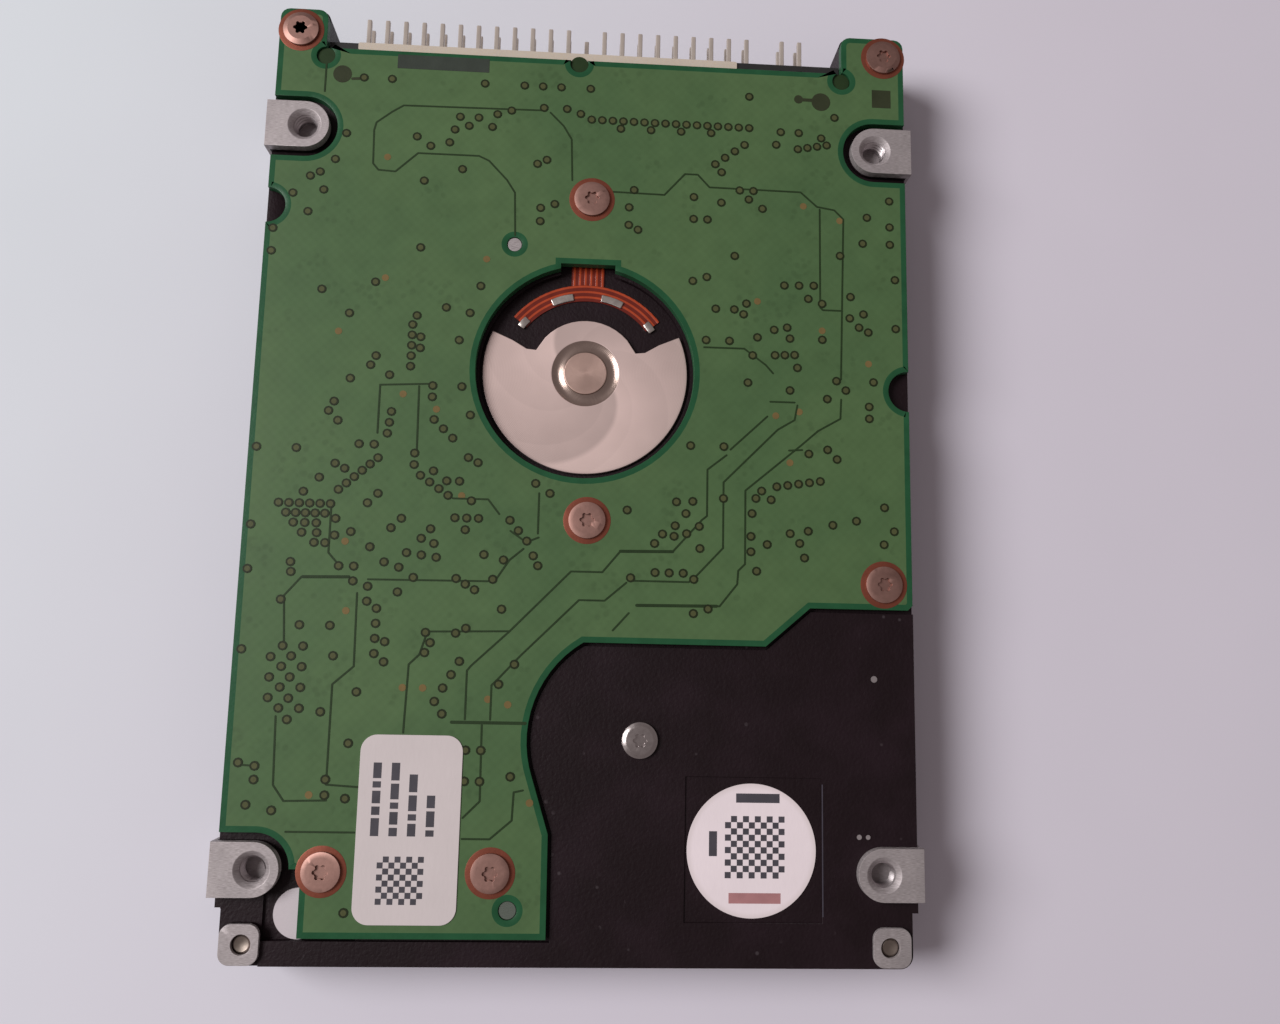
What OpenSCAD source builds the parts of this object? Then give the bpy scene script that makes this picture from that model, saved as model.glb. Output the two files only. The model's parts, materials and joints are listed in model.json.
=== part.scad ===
// 2.5-inch hard disk drive, lying on its cover with the circuit board up.
// Origin: centre of the cover's outer face. +Y points to the connector, +Z to the circuit board.

/* [Case] */
// Width over the mounting lugs
case_w = 69.85; // [69.5:0.05:71]
// Length from the closed end to the ends of the connector horns
case_l = 100.2; // [99.8:0.1:102]
// Height from the cover to the mounting lugs
case_h = 9.5; // [9.5:0.1:12.5]
// Thickness of the pressed cover
lid_t = 0.5; // [0.4:0.05:0.55]
// Thickness of the cover gasket
gasket_t = 0.3; // [0.2:0.05:0.4]
// Thickness of the casting between the disks and the board
floor_t = 0.6; // [0.5:0.05:0.7]
// Corner radius of the casting in plan
corner_r = 1.3; // [0.8:0.1:1.8]
// How far the casting's flanks lie inside the mounting lugs
flank_inset = 0.4; // [0.3:0.05:0.5]
// Thickness of the side wall beside the actuator
side_wall = 2.2; // [1.9:0.1:2.4]

/* [Mounting holes] */
// Distance across between the bottom mounting holes
hole_span_x = 61.72; // [61.4:0.02:62]
// Distance along between the mounting holes
hole_span_y = 76.6; // [76:0.1:77]
// Distance of the first hole from the connector end
hole_first_y = 14; // [13.5:0.1:14.5]
// Radius of the M3 holes
hole_r = 1.25; // [1.2:0.05:1.3]
// Depth of the bottom holes
hole_depth = 2.5; // [2:0.1:2.7]
// Depth of the side holes
side_hole_depth = 2.5; // [2:0.1:2.6]
// Height of the side holes below the lug faces
side_hole_drop = 3; // [2.8:0.1:3.2]
// Radius of the lugs' inner ends
lug_r = 2.6; // [2.4:0.1:2.9]

/* [Circuit board] */
// Thickness of the board
board_t = 1; // [0.8:0.1:1.1]
// How far the board's face lies below the lug faces
board_drop = 0.5; // [0.5:0.05:0.6]
// Room under the board for its parts
board_room = 1.7; // [1.6:0.05:1.75]
// Inset of the board's long edges from the lugs' faces
board_inset = 0.6; // [0.5:0.05:0.9]
// Radius of the board's window round the motor
window_r = 11.5; // [11.3:0.1:11.9]
// Radius of the board screws' heads
board_head_r = 1.9; // [1.7:0.1:2.2]
// Height of the chips under the board
chip_h = 1.2; // [0.8:0.1:1.4]

/* [Connector] */
// Distance between contact pins
pin_pitch = 2; // [1.9:0.02:2.02]
// Width of a contact pin
pin_w = 0.5; // [0.4:0.05:0.6]
// Height of the upper pin row below the lug faces
pin_row_drop = 2.1; // [1.9:0.1:2.3]

/* [Disks] */
// Radius of a platter
platter_r = 32.5; // [31.5:0.1:32.6]
// Radius of the hole in a platter
platter_bore_r = 10; // [9.9:0.05:10.2]
// Thickness of a platter
platter_t = 0.635; // [0.6:0.005:0.66]
// Radial gap between the platters and the casting
platter_gap = 0.7; // [0.5:0.05:0.8]
// Radius of the hub's flange
flange_r = 12.2; // [12:0.1:12.4]
// Radius of the spindle shaft
shaft_r = 1.5; // [1.2:0.05:1.7]
// Radius of the disc-shaped motor base
motor_base_r = 10.85; // [10.6:0.05:11]

/* [Actuator] */
// Distance from the pivot to the read heads
arm_reach = 31.5; // [31:0.1:32]
// Direction of the parked arms, in degrees from +X
park_angle = 158.7; // [158:0.1:160]
// How far the arms turn inwards, in degrees
arm_swing = 38; // [30:1:39]
// Thickness of the outer arms
outer_arm_t = 0.4; // [0.3:0.02:0.42]
// Thickness of the middle arm
middle_arm_t = 0.65; // [0.6:0.05:0.75]
// Thickness of a suspension
suspension_t = 0.1; // [0.06:0.01:0.1]
// Thickness of a head slider
slider_t = 0.3; // [0.25:0.01:0.3]
// Radius of the pivot's bearing sleeve
pivot_sleeve_r = 4.4; // [4.2:0.1:4.6]
// Inner radius of the voice coil
coil_r1 = 10; // [9.6:0.1:10.4]
// Outer radius of the voice coil
coil_r2 = 19; // [18.5:0.1:19]
// Thickness of the voice coil
coil_t = 1.6; // [1.4:0.05:1.65]
// Width of the voice coil's windings
coil_w = 2.4; // [2:0.1:2.6]
// Thickness of a magnet
magnet_t = 0.55; // [0.45:0.05:0.6]
// Thickness of the yoke on the cover's side
yoke_t = 0.75; // [0.6:0.05:0.75]

/* [Hidden] */
$fn = 64;
eps = 0.01;
// Gap left between pieces of one assembly that slide together
slip = 0.05;
// Gap left between pieces that pass each other
clear = 0.3;

// Heights, from the cover's outer face at 0
z_rim = lid_t + gasket_t;
z_lug = case_h;
z_board_top = z_lug - board_drop;
z_board = z_board_top - board_t;
z_floor_out = z_board - board_room;
z_floor = z_floor_out - floor_t;
z_plateau = z_board + board_t / 2;
plateau_recess = 0.15;
label_t = 0.1;

// Arms, suspensions, sliders and platters stack down from the casting's floor
arm_floor_gap = 0.33;
fly_gap = 0.1;
head_stack = suspension_t + slider_t;
z_base_arm = z_floor - arm_floor_gap - outer_arm_t;
z_lower_platter = z_base_arm - head_stack - fly_gap - platter_t;
z_middle_arm = z_lower_platter - fly_gap - head_stack - middle_arm_t;
z_upper_platter = z_middle_arm - head_stack - fly_gap - platter_t;
z_cover_arm = z_upper_platter - fly_gap - head_stack - outer_arm_t;
z_coil_mid = z_middle_arm + middle_arm_t / 2;
coil_gap = 0.25;

// Places in plan
case_x = case_w / 2;
flank_x = case_x - flank_inset;
y_end = -case_l / 2;
y_horn = case_l / 2;
y_neck = y_horn - 4.1;
upper_setback = 0.5;
hole_x = hole_span_x / 2;
hole_y1 = y_horn - hole_first_y;
hole_y2 = hole_y1 - hole_span_y;
lugs = [[-1, hole_y1], [1, hole_y1], [-1, hole_y2], [1, hole_y2]];
lug_shadow_r = 3.4;
spindle = [-0.2, y_end + 60.3];
pivot = spindle + [6.5, -38];
left_horn_in = 5.7 - case_x;
right_horn_in = case_x - 7.6;

// Cover screws: two at each end and one on each flank
pad_x = flank_x - 3;
pad_y = y_end + 2.6;
flank_screw = [flank_x - 2.65, pivot[1] + 5.8];
top_screw = [flank_x - 2.65, y_neck - 3.1];
cover_screw_at = [
    [-pad_x, pad_y], [pad_x, pad_y],
    [-flank_screw[0], flank_screw[1]], flank_screw,
    [-top_screw[0], top_screw[1]], top_screw
];
cover_shank_r = 0.75;
cover_head_r = 1.4;
cup_r = 1.95;
cup_wall = 0.4;
cup_depth = 0.4;
cover_screw_end = 5;
z_cup_seat = z_rim + cup_depth - cup_wall;
screw_boss_r = 2.6;

// Board screws: ears, above and below the window, right edge and bottom lobe
board_screw_at = [
    [2.9 - case_x, y_horn - 2.9], [case_x - 2.9, y_horn - 2.7],
    spindle + [0.2, 19], spindle + [0.6, -15.9], [case_x - 3.6, pivot[1] + 16.2],
    [6.5 - hole_x, y_end + 9.4], [-8.1, y_end + 9.4]
];
board_shank_r = 0.8;
board_screw_depth = 2.6;
board_boss_r = 2.6;
locating_pins = [[spindle[0] - 7.9, spindle[1] + 13.6, 0.75], [-6.3, y_end + 5.9, 0.85]];

// Motor
well_r = flange_r + 0.5;
well_depth = 1.2;
z_well = z_floor + well_depth;
motor_wall = 0.5;
z_motor_seat = z_well + motor_wall;
motor_boss_r = well_r + 1;
hub_r = platter_bore_r - slip;
flange_t = 0.55;
z_flange = z_lower_platter + platter_t;
sleeve_r = 3.5;
sleeve_seat_r = sleeve_r + slip;
sleeve_sunk = 0.35;
stator_bore_r = 4.6;
stator_r = 10.3;
stator_t = 0.9;
stator_slots = 9;
magnet_ring_r = 10.7;
z_stator = z_well - 0.55 - stator_t;
cap_r = 2.3;
motor_notch_w = 5.8;
motor_notch_y = spindle[1] + 11.7;

// Actuator and voice-coil motor
coil_angle = park_angle - 180;
sweep_mid = coil_angle - arm_swing / 2;
coil_half = 18;
fork_inner = 18.8;
fork_outer = 24;
fork_r = coil_r2 + 0.5;
pivot_bore_r = pivot_sleeve_r + slip;
block_r = pivot_bore_r + 1.6;
pivot_shaft_r = 1.6;
race_gap_r = 2.3;
race_outer_r = 3.3;
bearing_bore_r = pivot_sleeve_r - 0.5;
tab_reach = arm_reach + 3.3;
ramp_r1 = arm_reach + 1.3;
ramp_r2 = tab_reach + 0.8;
yoke_half = 36;
yoke_r1 = coil_r1 - 1;
yoke_r2 = coil_r2 + 1.4;
z_base_magnet = z_coil_mid + coil_t / 2 + coil_gap;
z_cover_magnet = z_coil_mid - coil_t / 2 - coil_gap - magnet_t;
z_cover_yoke = z_cover_magnet - yoke_t;
// Yoke posts: radius from the pivot and angle from the middle of the sweep
yoke_post_at = [[yoke_r2 + 1.6, 22], [yoke_r2 + 1.6, -12], [coil_r1 + 6, 54.3]];
yoke_post_r = 1.1;
yoke_lobe_r = 2;
yoke_screw_r = 0.6;
stop_r = 1;
stop_reach = 12;
stop_half = arm_swing / 2 + fork_outer + 6.4;
latch_at = pivot + [coil_r2 + 2.7, -3.2];
latch_r = 1.1;
latch_pin_r = 0.5;
flex_t = 0.12;

// Cavity of the casting
cavity_r = platter_r + platter_gap;
cavity_x = flank_x - side_wall;
cavity_end = y_end + 2.2;
cavity_shoulder = spindle[1] - 20.2;

// Points on an arc about a centre
function arc(c, r, a0, a1, steps = 8) =
    [for (i = [0:steps]) c + r * [cos(a0 + (a1 - a0) * i / steps), sin(a0 + (a1 - a0) * i / steps)]];
// Unit vector at right angles to the line from a to b, on its left
function left_of(a, b) = [a[1] - b[1], b[0] - a[0]] / norm(b - a);
// Path moved sideways by a distance, to its left
function beside(path, shift) = [
    for (i = [0:len(path) - 1])
    let (before = left_of(path[max(i - 1, 0)], path[max(i, 1)]))
    let (after = left_of(path[min(i, len(path) - 2)], path[min(i + 1, len(path) - 1)]))
    path[i] + shift * (before + after) / (1 + before * after)
];
// Places round a ring, in degrees
function round_ring(count) = [for (i = [0:count - 1]) 360 * i / count];

// Edge between board and bare casting, from the right flank round the pivot to the bottom
lobe_right = pivot[0] - 8.8;
lobe_left = 8.6 - case_x;
lobe_bottom = y_end + 3.2;
plateau_left = 5 - case_x;
pale_pad = [8.4 - case_x, y_end + 5.3];
pale_pad_r = 2.4;
board_step = concat(
    [[flank_x - 0.3, pivot[1] + 13.6], [pivot[0] + 17.3, pivot[1] + 13.6], [pivot[0] + 12.7, pivot[1] + 9.6]],
    arc(pivot, 11.3, 121.5, 200, 14),
    [[lobe_right - 0.1, pivot[1] - 9.2]],
    [[lobe_right, lobe_bottom]]
);
board_x = case_x - board_inset;
board_end = y_neck - 0.7;

module at(place, z = 0) {
    translate([place[0], place[1], z]) children();
}

module at_lugs() {
    for (lug = lugs) {
        translate([lug[0] * hole_x, lug[1], 0]) mirror([lug[0] < 0 ? 1 : 0, 0, 0]) children();
    }
}

// Ring segment about the origin, turned to its middle angle
module ring_segment(r1, r2, middle, half, h) {
    rotate([0, 0, middle - half]) rotate_extrude(angle = 2 * half) translate([r1, 0]) square([r2 - r1, h]);
}

module tube(r1, r2, h) {
    difference() {
        cylinder(r = r2, h = h);
        translate([0, 0, -eps]) cylinder(r = r1, h = h + 2 * eps);
    }
}

// Rectangle with rounded corners between two opposite corners
module rounded(low, high, r) {
    for (x = [low[0] + r, high[0] - r], y = [low[1] + r, high[1] - r]) translate([x, y]) circle(r);
    translate([low[0] + r, low[1]]) square([high[0] - low[0] - 2 * r, high[1] - low[1]]);
    translate([low[0], low[1] + r]) square([high[0] - low[0], high[1] - low[1] - 2 * r]);
}

// Screw with its head's face at z = 0, pointing down, with a six-lobed socket
module screw(head_r, head_h, shank_r, length) {
    difference() {
        union() {
            translate([0, 0, -head_h * 0.6]) cylinder(r = head_r, h = head_h * 0.2 + eps);
            translate([0, 0, -head_h * 0.4]) cylinder(r1 = head_r, r2 = head_r * 0.72, h = head_h * 0.4);
            translate([0, 0, -head_h]) cylinder(r = head_r, h = head_h * 0.4 + eps);
            translate([0, 0, -head_h - length]) cylinder(r = shank_r, h = length + eps);
        }
        translate([0, 0, -head_h * 0.5]) cylinder(r = head_r * 0.3, h = head_h);
        for (a = round_ring(6)) {
            rotate([0, 0, a]) translate([head_r * 0.3, 0, -head_h * 0.5]) {
                cylinder(r = head_r * 0.1, h = head_h);
            }
        }
    }
}

// Outline of the casting, drawn in by an inset
module case_plan(inset, y_low) {
    x = flank_x - inset;
    translate([0, y_low + inset + corner_r + 5]) {
        translate([-x, -1]) square([2 * x, y_neck - inset - y_low - inset - corner_r - 4]);
    }
    rounded([-x + 0.6, y_low + inset], [x - 0.6, y_low + inset + 8], corner_r);
}

module horn_plan(inset) {
    rounded([-flank_x + inset, y_neck - 4], [left_horn_in - inset, y_horn - inset], 1);
    rounded([right_horn_in + inset, y_neck - 4], [flank_x - inset, y_horn - inset], 1);
}

// Outline of the hollow that holds the disks and the actuator
module cavity_plan(grow) {
    difference() {
        union() {
            at(spindle) circle(cavity_r + grow, $fn = 128);
            rounded([-cavity_x - grow, cavity_end - grow], [cavity_x + grow, cavity_shoulder + grow], 2);
        }
        for (place = cover_screw_at) at(place) circle(screw_boss_r - grow);
        for (lug = lugs) {
            translate([lug[0] * (cavity_x + grow), lug[1]]) square([2 * 0.8, 2 * lug_r], center = true);
        }
    }
}

// Outline of the board, before its window, notches and holes are cut
module board_outline() {
    ear_r = 1;
    polygon(concat(
        [[-board_x, hole_y2]],
        arc([-board_x + ear_r, y_horn - 0.4 - ear_r], ear_r, 180, 90, 4),
        arc([left_horn_in - ear_r, y_horn - 0.4 - ear_r], ear_r, 90, 0, 4),
        [[left_horn_in, board_end], [right_horn_in, board_end]],
        arc([right_horn_in + ear_r, y_horn - 0.4 - ear_r], ear_r, 180, 90, 4),
        arc([board_x - ear_r, y_horn - 0.4 - ear_r], ear_r, 90, 0, 4),
        [[board_x, board_step[0][1] + 0.5], [board_x - 0.5, board_step[0][1]]],
        [for (i = [1:len(board_step) - 1]) board_step[i]],
        [[lobe_left, lobe_bottom], [lobe_left, hole_y2]]
    ));
}

// Slot round a mounting lug, open to the flank; mirrored on the left by at_lugs
module lug_slot(r) {
    circle(r);
    translate([0, -r]) square([case_x - hole_x + 1, 2 * r]);
}

// ---- Casting ----

// Connector space between the horns
housing_back = y_neck - 2.1;
housing_front = y_neck + 0.6;
z_housing = z_board - 3.6;
flex_hole = [10, 3.4];
flex_header_at = pivot + [-20.8, -8.2];
ramp_turn = 4.3;
ramp_foot_t = 1.2;
ramp_screw_turn = park_angle + ramp_turn + 4.3;
ramp_screw_at = pivot + (ramp_r1 - 1.6) * [cos(ramp_screw_turn), sin(ramp_screw_turn)];
tiny_screw_r = 0.6;

// Hollow under the board for its parts, with bosses left standing
module board_pocket() {
    difference() {
        union() {
            rounded([-cavity_x, pivot[1] + 14.8], [cavity_x, housing_back - 1.6], 1.5);
            rounded([-cavity_x, hole_y2 + 5], [pivot[0] - 12.9, pivot[1] + 17.8], 1.5);
            rounded([lobe_left + 1.7, lobe_bottom + 1.6], [lobe_right - 2, hole_y2 + 9], 1.5);
        }
        at_lugs() lug_slot(lug_shadow_r + 0.8);
        for (place = board_screw_at) at(place) circle(board_boss_r);
        for (pin = locating_pins) at(pin) circle(pin[2] + 1);
        at(spindle) circle(motor_boss_r);
        at(ramp_screw_at) circle(board_boss_r);
        at([spindle[0] - motor_notch_w / 2 - 1, spindle[1]]) square([motor_notch_w + 2, 18]);
    }
}

module bare_lugs() {
    at_lugs() {
        translate([0, 0, z_board - eps]) linear_extrude(z_lug - z_board + eps) {
            circle(lug_r);
            translate([0, -lug_r]) square([case_x - hole_x, 2 * lug_r]);
        }
        translate([flank_x - hole_x - 1, -lug_r, z_rim + 1.5]) {
            cube([flank_inset + 1, 2 * lug_r, z_lug - z_rim - 1.5]);
        }
    }
}

module corner_pads() {
    for (side = [-1, 1]) {
        translate([side * (pad_x + 0.2), pad_y, z_board - eps]) {
            linear_extrude(board_t) rounded([-1.9, -1.9], [1.9, 1.9], corner_r - 0.2);
        }
    }
}

// Raised bare casting below and to the right of the board
module plateau() {
    edge = beside(board_step, 0.35);
    translate([0, 0, z_board - eps]) linear_extrude(z_plateau - z_board + eps) intersection() {
        case_plan(0, y_end + upper_setback);
        polygon(concat(
            [[case_x + 1, edge[0][1]]], edge,
            [[lobe_right + 0.35, lobe_bottom - 0.35], [plateau_left, lobe_bottom - 0.35]],
            [[plateau_left, y_end - 1], [case_x + 1, y_end - 1]]
        ));
    }
}

module mounting_holes() {
    at_lugs() {
        translate([0, 0, z_lug - hole_depth]) cylinder(r = hole_r, h = hole_depth + eps);
        translate([0, 0, z_lug - 0.5]) cylinder(r1 = hole_r, r2 = hole_r + 0.5 + eps, h = 0.5 + eps);
        translate([case_x - hole_x + eps, 0, z_lug - side_hole_drop]) rotate([0, -90, 0]) {
            cylinder(r = hole_r, h = side_hole_depth + eps);
        }
    }
}

module case_screw_holes() {
    for (place = board_screw_at) {
        at(place, z_board_top - board_screw_depth - 0.2) {
            cylinder(r = board_shank_r + slip, h = board_screw_depth);
        }
    }
    for (place = cover_screw_at) {
        at(place, z_rim - eps) {
            cylinder(r = cover_shank_r + slip, h = cover_screw_end - z_rim + 0.3);
            cylinder(r = cup_r + slip, h = cup_depth + eps);
        }
    }
    for (side = [-1, 1]) {
        at([side * pad_x, pad_y], z_rim) cylinder(r = cover_shank_r + slip, h = z_lug);
        at([side * pad_x, pad_y], z_board) cylinder(r = cover_shank_r + 0.2, h = z_lug);
    }
    for (place = yoke_post_at) {
        at_post(place, z_floor - eps) cylinder(r = yoke_screw_r + slip, h = 1.8);
    }
    at(ramp_screw_at, z_floor - eps) cylinder(r = tiny_screw_r + slip, h = 1.5);
    at(pivot, z_floor - eps) cylinder(r = board_shank_r + slip, h = z_plateau - z_floor + 1);
}

module at_post(place, z = 0) {
    angle = sweep_mid + place[1];
    at(pivot + place[0] * [cos(angle), sin(angle)], z) children();
}

module base_casting() {
    z_skirt = z_board - 1.7;
    color([0.12, 0.11, 0.13]) difference() {
        union() {
            translate([0, 0, z_rim]) linear_extrude(z_skirt - z_rim + eps) case_plan(0, y_end);
            translate([0, 0, z_skirt]) linear_extrude(z_board - z_skirt) case_plan(0, y_end + upper_setback);
            translate([0, 0, z_rim]) linear_extrude(z_board - z_rim) horn_plan(0);
            plateau();
            bare_lugs();
            corner_pads();
            for (pin = locating_pins) at(pin, z_board - eps) cylinder(r = pin[2], h = board_t - 0.1);
        }
        difference() {
            translate([0, 0, z_rim - eps]) linear_extrude(z_floor - z_rim + eps) cavity_plan(0);
            at(pivot, z_floor - 0.3) tube(pivot_bore_r + 2.4, pivot_bore_r + 3, 1);
        }
        difference() {
            at(spindle, z_floor - 2 * eps) cylinder(r = well_r, h = well_depth + 2 * eps);
            at(spindle, z_stator + stator_t) tube(stator_bore_r, stator_bore_r + 0.8, 2);
        }
        translate([0, 0, z_floor_out]) linear_extrude(board_room + eps) board_pocket();
        at(spindle, z_motor_seat) cylinder(r = motor_base_r + clear, h = 3);
        at(spindle, z_floor) cylinder(r = stator_bore_r, h = 3);
        at([spindle[0] - motor_notch_w / 2, spindle[1], z_motor_seat]) {
            translate([0, 0, z_motor_seat]) cube([motor_notch_w, 16.5, 2]);
        }
        translate([left_horn_in, housing_back, z_housing]) {
            cube([right_horn_in - left_horn_in, 5, 5]);
        }
        at(flex_header_at, z_floor - eps) {
            translate([-flex_hole[0] / 2 - slip, -flex_hole[1] / 2 - slip, 0]) {
                cube([flex_hole[0] + 2 * slip, flex_hole[1] + 2 * slip, 2]);
            }
        }
        at(pivot + [4.7, -17.5], z_plateau - plateau_recess) cube([13.8, 14, 1]);
        difference() {
            translate([plateau_left, y_end - 1, z_board - clear]) cube([9, 8.3, clear + eps]);
            at(pale_pad, z_board - 1) cylinder(r = pale_pad_r, h = 3);
            translate([plateau_left - 1, y_end - 1, z_board - 1]) cube([12, lobe_bottom - y_end + 0.65, 3]);
        }
        mounting_holes();
        case_screw_holes();
    }
}

// ---- Cover ----

cover_label_size = [47.8, 45.8];
cover_label_at = [-cover_label_size[0] / 2, spindle[1] - 1.2 - cover_label_size[1] / 2];
label_margin = 0.1;
label_sunk = 0.03;

module cup(place, outward) {
    at(place, z_rim + cup_depth - cup_wall) tube(cover_shank_r + slip, cup_r, cup_wall);
    at(place) tube(cup_r - cup_wall, cup_r, z_rim + cup_depth);
}

module top_cover() {
    cup_at = concat(cover_screw_at, [pivot]);
    color([0.75, 0.75, 0.77]) {
        difference() {
            linear_extrude(lid_t) case_plan(0.2, y_end);
            for (place = cup_at) at(place, -1) cylinder(r = cup_r - eps, h = 3);
            at(cover_label_at, -eps) linear_extrude(label_t + label_sunk + eps) {
                rounded([-label_margin, -label_margin], cover_label_size + [label_margin, label_margin], 2);
            }
        }
        for (place = cup_at) cup(place);
    }
}

module cover_gasket() {
    color([0.2, 0.2, 0.2]) translate([0, 0, lid_t]) linear_extrude(gasket_t) difference() {
        case_plan(0.35, y_end);
        cavity_plan(0.15);
        for (place = cover_screw_at) at(place) circle(cup_r + slip);
    }
}

module cover_screws() {
    color([0.7, 0.7, 0.72]) for (place = concat(cover_screw_at, [pivot])) {
        at(place, z_cup_seat - 0.65) mirror([0, 0, 1]) {
            screw(cover_head_r, 0.65, cover_shank_r, place == pivot ? 1.8 : cover_screw_end - z_cup_seat);
        }
    }
}

module cover_label() {
    color([0.9, 0.9, 0.9]) at(cover_label_at, label_sunk) {
        linear_extrude(label_t) rounded([0, 0], cover_label_size, 1.9);
    }
}

// ---- Circuit board ----

module circuit_board() {
    notch_r = 1;
    color([0.25, 0.42, 0.25]) translate([0, 0, z_board]) linear_extrude(board_t) difference() {
        board_outline();
        at(spindle) circle(window_r);
        at([spindle[0] - motor_notch_w / 2, spindle[1]]) square([motor_notch_w, motor_notch_y - spindle[1]]);
        at_lugs() lug_slot(lug_shadow_r);
        for (place = board_screw_at) at(place) circle(board_shank_r + 0.1);
        for (pin = locating_pins) at(pin) circle(pin[2] + slip);
        at([left_horn_in, y_neck - 1.6]) circle(notch_r);
        at([right_horn_in, y_neck - 1.6]) circle(notch_r);
        at([-1.8, y_neck - 1.1]) circle(notch_r);
        at([-board_x, hole_y1 - 9]) circle(1.95);
        at([board_x, spindle[1] - 1.1]) circle(2.2);
    }
}

module board_screws() {
    head_h = board_drop;
    color([0.72, 0.7, 0.68]) for (place = board_screw_at) {
        at(place, z_board_top + head_h) {
            screw(board_head_r, head_h, board_shank_r, board_screw_depth);
        }
    }
}

module chip(place, size, turn = 0) {
    at(place, z_board - size[2]) rotate([0, 0, turn]) {
        translate([-size[0] / 2, -size[1] / 2, 0]) cube(size);
    }
}

// Chip with a row of short legs down each long side, or round all four sides
module leaded_chip(place, size, turn, legs, four_sided) {
    leg_w = 0.3;
    leg_out = 0.7;
    foot_t = 0.15;
    chip(place, size, turn);
    for (side = four_sided ? [0, 90, 180, 270] : [0, 180]) {
        along = side % 180 == 0 ? size[1] : size[0];
        reach = side % 180 == 0 ? size[0] / 2 : size[1] / 2;
        pitch = (along - 1) / (legs - 1);
        at(place, z_board - foot_t) rotate([0, 0, turn + side]) {
            for (i = [0:legs - 1]) {
                translate([reach, i * pitch - (along - 1) / 2 - leg_w / 2, 0]) cube([leg_out, leg_w, foot_t]);
            }
        }
    }
}

module controller_chip() {
    color([0.1, 0.1, 0.1]) leaded_chip(spindle + [-19.8, -11.2], [14, 14, chip_h], 45, 16, true);
}

module memory_chip() {
    color([0.12, 0.12, 0.12]) leaded_chip(spindle + [-20.8, 11.8], [9, 15, chip_h - 0.2], 0, 14, false);
}

module motor_driver_chip() {
    color([0.1, 0.1, 0.11]) leaded_chip(spindle + [22.2, -8.2], [9, 9, chip_h], 0, 10, true);
}

module flash_chip() {
    color([0.12, 0.12, 0.12]) leaded_chip(spindle + [20.7, 13.8], [4, 5, chip_h], 0, 4, false);
}

module crystal() {
    color([0.7, 0.7, 0.68]) chip(pivot + [-21.3, 3.8], [6, 3.4, chip_h - 0.1]);
}

module chip_capacitors() {
    color([0.6, 0.5, 0.38]) {
        for (i = [0:5]) chip([8 + 2.2 * i, y_neck - 8], [1, 1.8, 0.8]);
        for (i = [0:3]) chip(spindle + [2.6 * i - 24.8, -27.2], [1.8, 1, 0.8]);
        for (i = [0:4]) chip(spindle + [14.2 + 2.4 * i, -18.2], [1, 1.6, 0.8]);
        for (y = [1.8, 4.8, 7.8]) chip(spindle + [29.2, y], [1.6, 1, 0.8]);
    }
}

module chip_resistors() {
    color([0.14, 0.14, 0.16]) {
        for (i = [0:7]) chip([2 * i - 20, y_neck - 9.5], [0.8, 1.6, 0.45]);
        for (i = [0:4]) chip(ramp_screw_at + [5.2 + 2 * i, 0.5], [0.8, 1.6, 0.45]);
        for (i = [0:3]) chip(spindle + [17.2 + 2 * i, 1.3], [0.8, 1.6, 0.45]);
    }
}

// Contact blocks under the board: one for the heads, one for the motor
module board_contacts() {
    z_header = z_floor_out + 0.7;
    color([0.86, 0.82, 0.7]) {
        chip(flex_header_at, [flex_hole[0], flex_hole[1], z_board - z_header]);
        chip(spindle + [0, 14.4], [5, 2.4, z_board - z_motor_seat - flex_t]);
    }
}

// ---- Connector ----

// Columns that hold a pin; one is left out as a gap, one has no upper pin as a key
pin_columns = concat([for (i = [0:21]) i], [23, 24]);
key_column = 12;
pin_tail = housing_back + 0.9;
rows_apart = pin_pitch;

function pin_x(column) = -1.1 + pin_pitch * (column - 12);

module pin_row(columns, z, tail_y, grow = 0) {
    half = pin_w / 2 + grow;
    for (column = columns) {
        translate([pin_x(column) - half, tail_y - half, z - half]) {
            cube([2 * half, y_horn - 0.1 - tail_y, 2 * half]);
            cube([2 * half, 2 * half, z_board - z + half]);
        }
    }
}

module pins(grow = 0) {
    z_upper = z_lug - pin_row_drop;
    pin_row([for (column = pin_columns) if (column != key_column) column], z_upper, pin_tail + 0.9, grow);
    pin_row(pin_columns, z_upper - rows_apart, pin_tail, grow);
}

ivory_low = [left_horn_in + 3.2, housing_front - 0.9];
ivory_high = [right_horn_in - 11.6, housing_front];

module pin_insulator() {
    color([0.86, 0.83, 0.72]) difference() {
        translate([0, 0, z_housing + 0.3]) linear_extrude(z_board - z_housing - 0.1) {
            rounded(ivory_low, ivory_high, 0.2);
        }
        translate([ivory_low[0] - 1, ivory_low[1] - 1, z_board]) {
            cube([60, 1 + board_end - ivory_low[1], 2]);
        }
        pins();
    }
}

module connector_housing() {
    color([0.09, 0.09, 0.1]) difference() {
        translate([0, 0, z_housing]) linear_extrude(z_board - z_housing) {
            translate([left_horn_in + slip, housing_back + slip]) {
                square([right_horn_in - left_horn_in - 2 * slip, housing_front - housing_back - slip]);
            }
        }
        translate([ivory_low[0], ivory_low[1], z_housing + 0.3]) {
            cube([ivory_high[0] - ivory_low[0], 5, 5]);
        }
        pins();
    }
}

module connector_pins() {
    color([0.75, 0.72, 0.66]) pins();
}

// ---- Spindle motor ----

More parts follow.
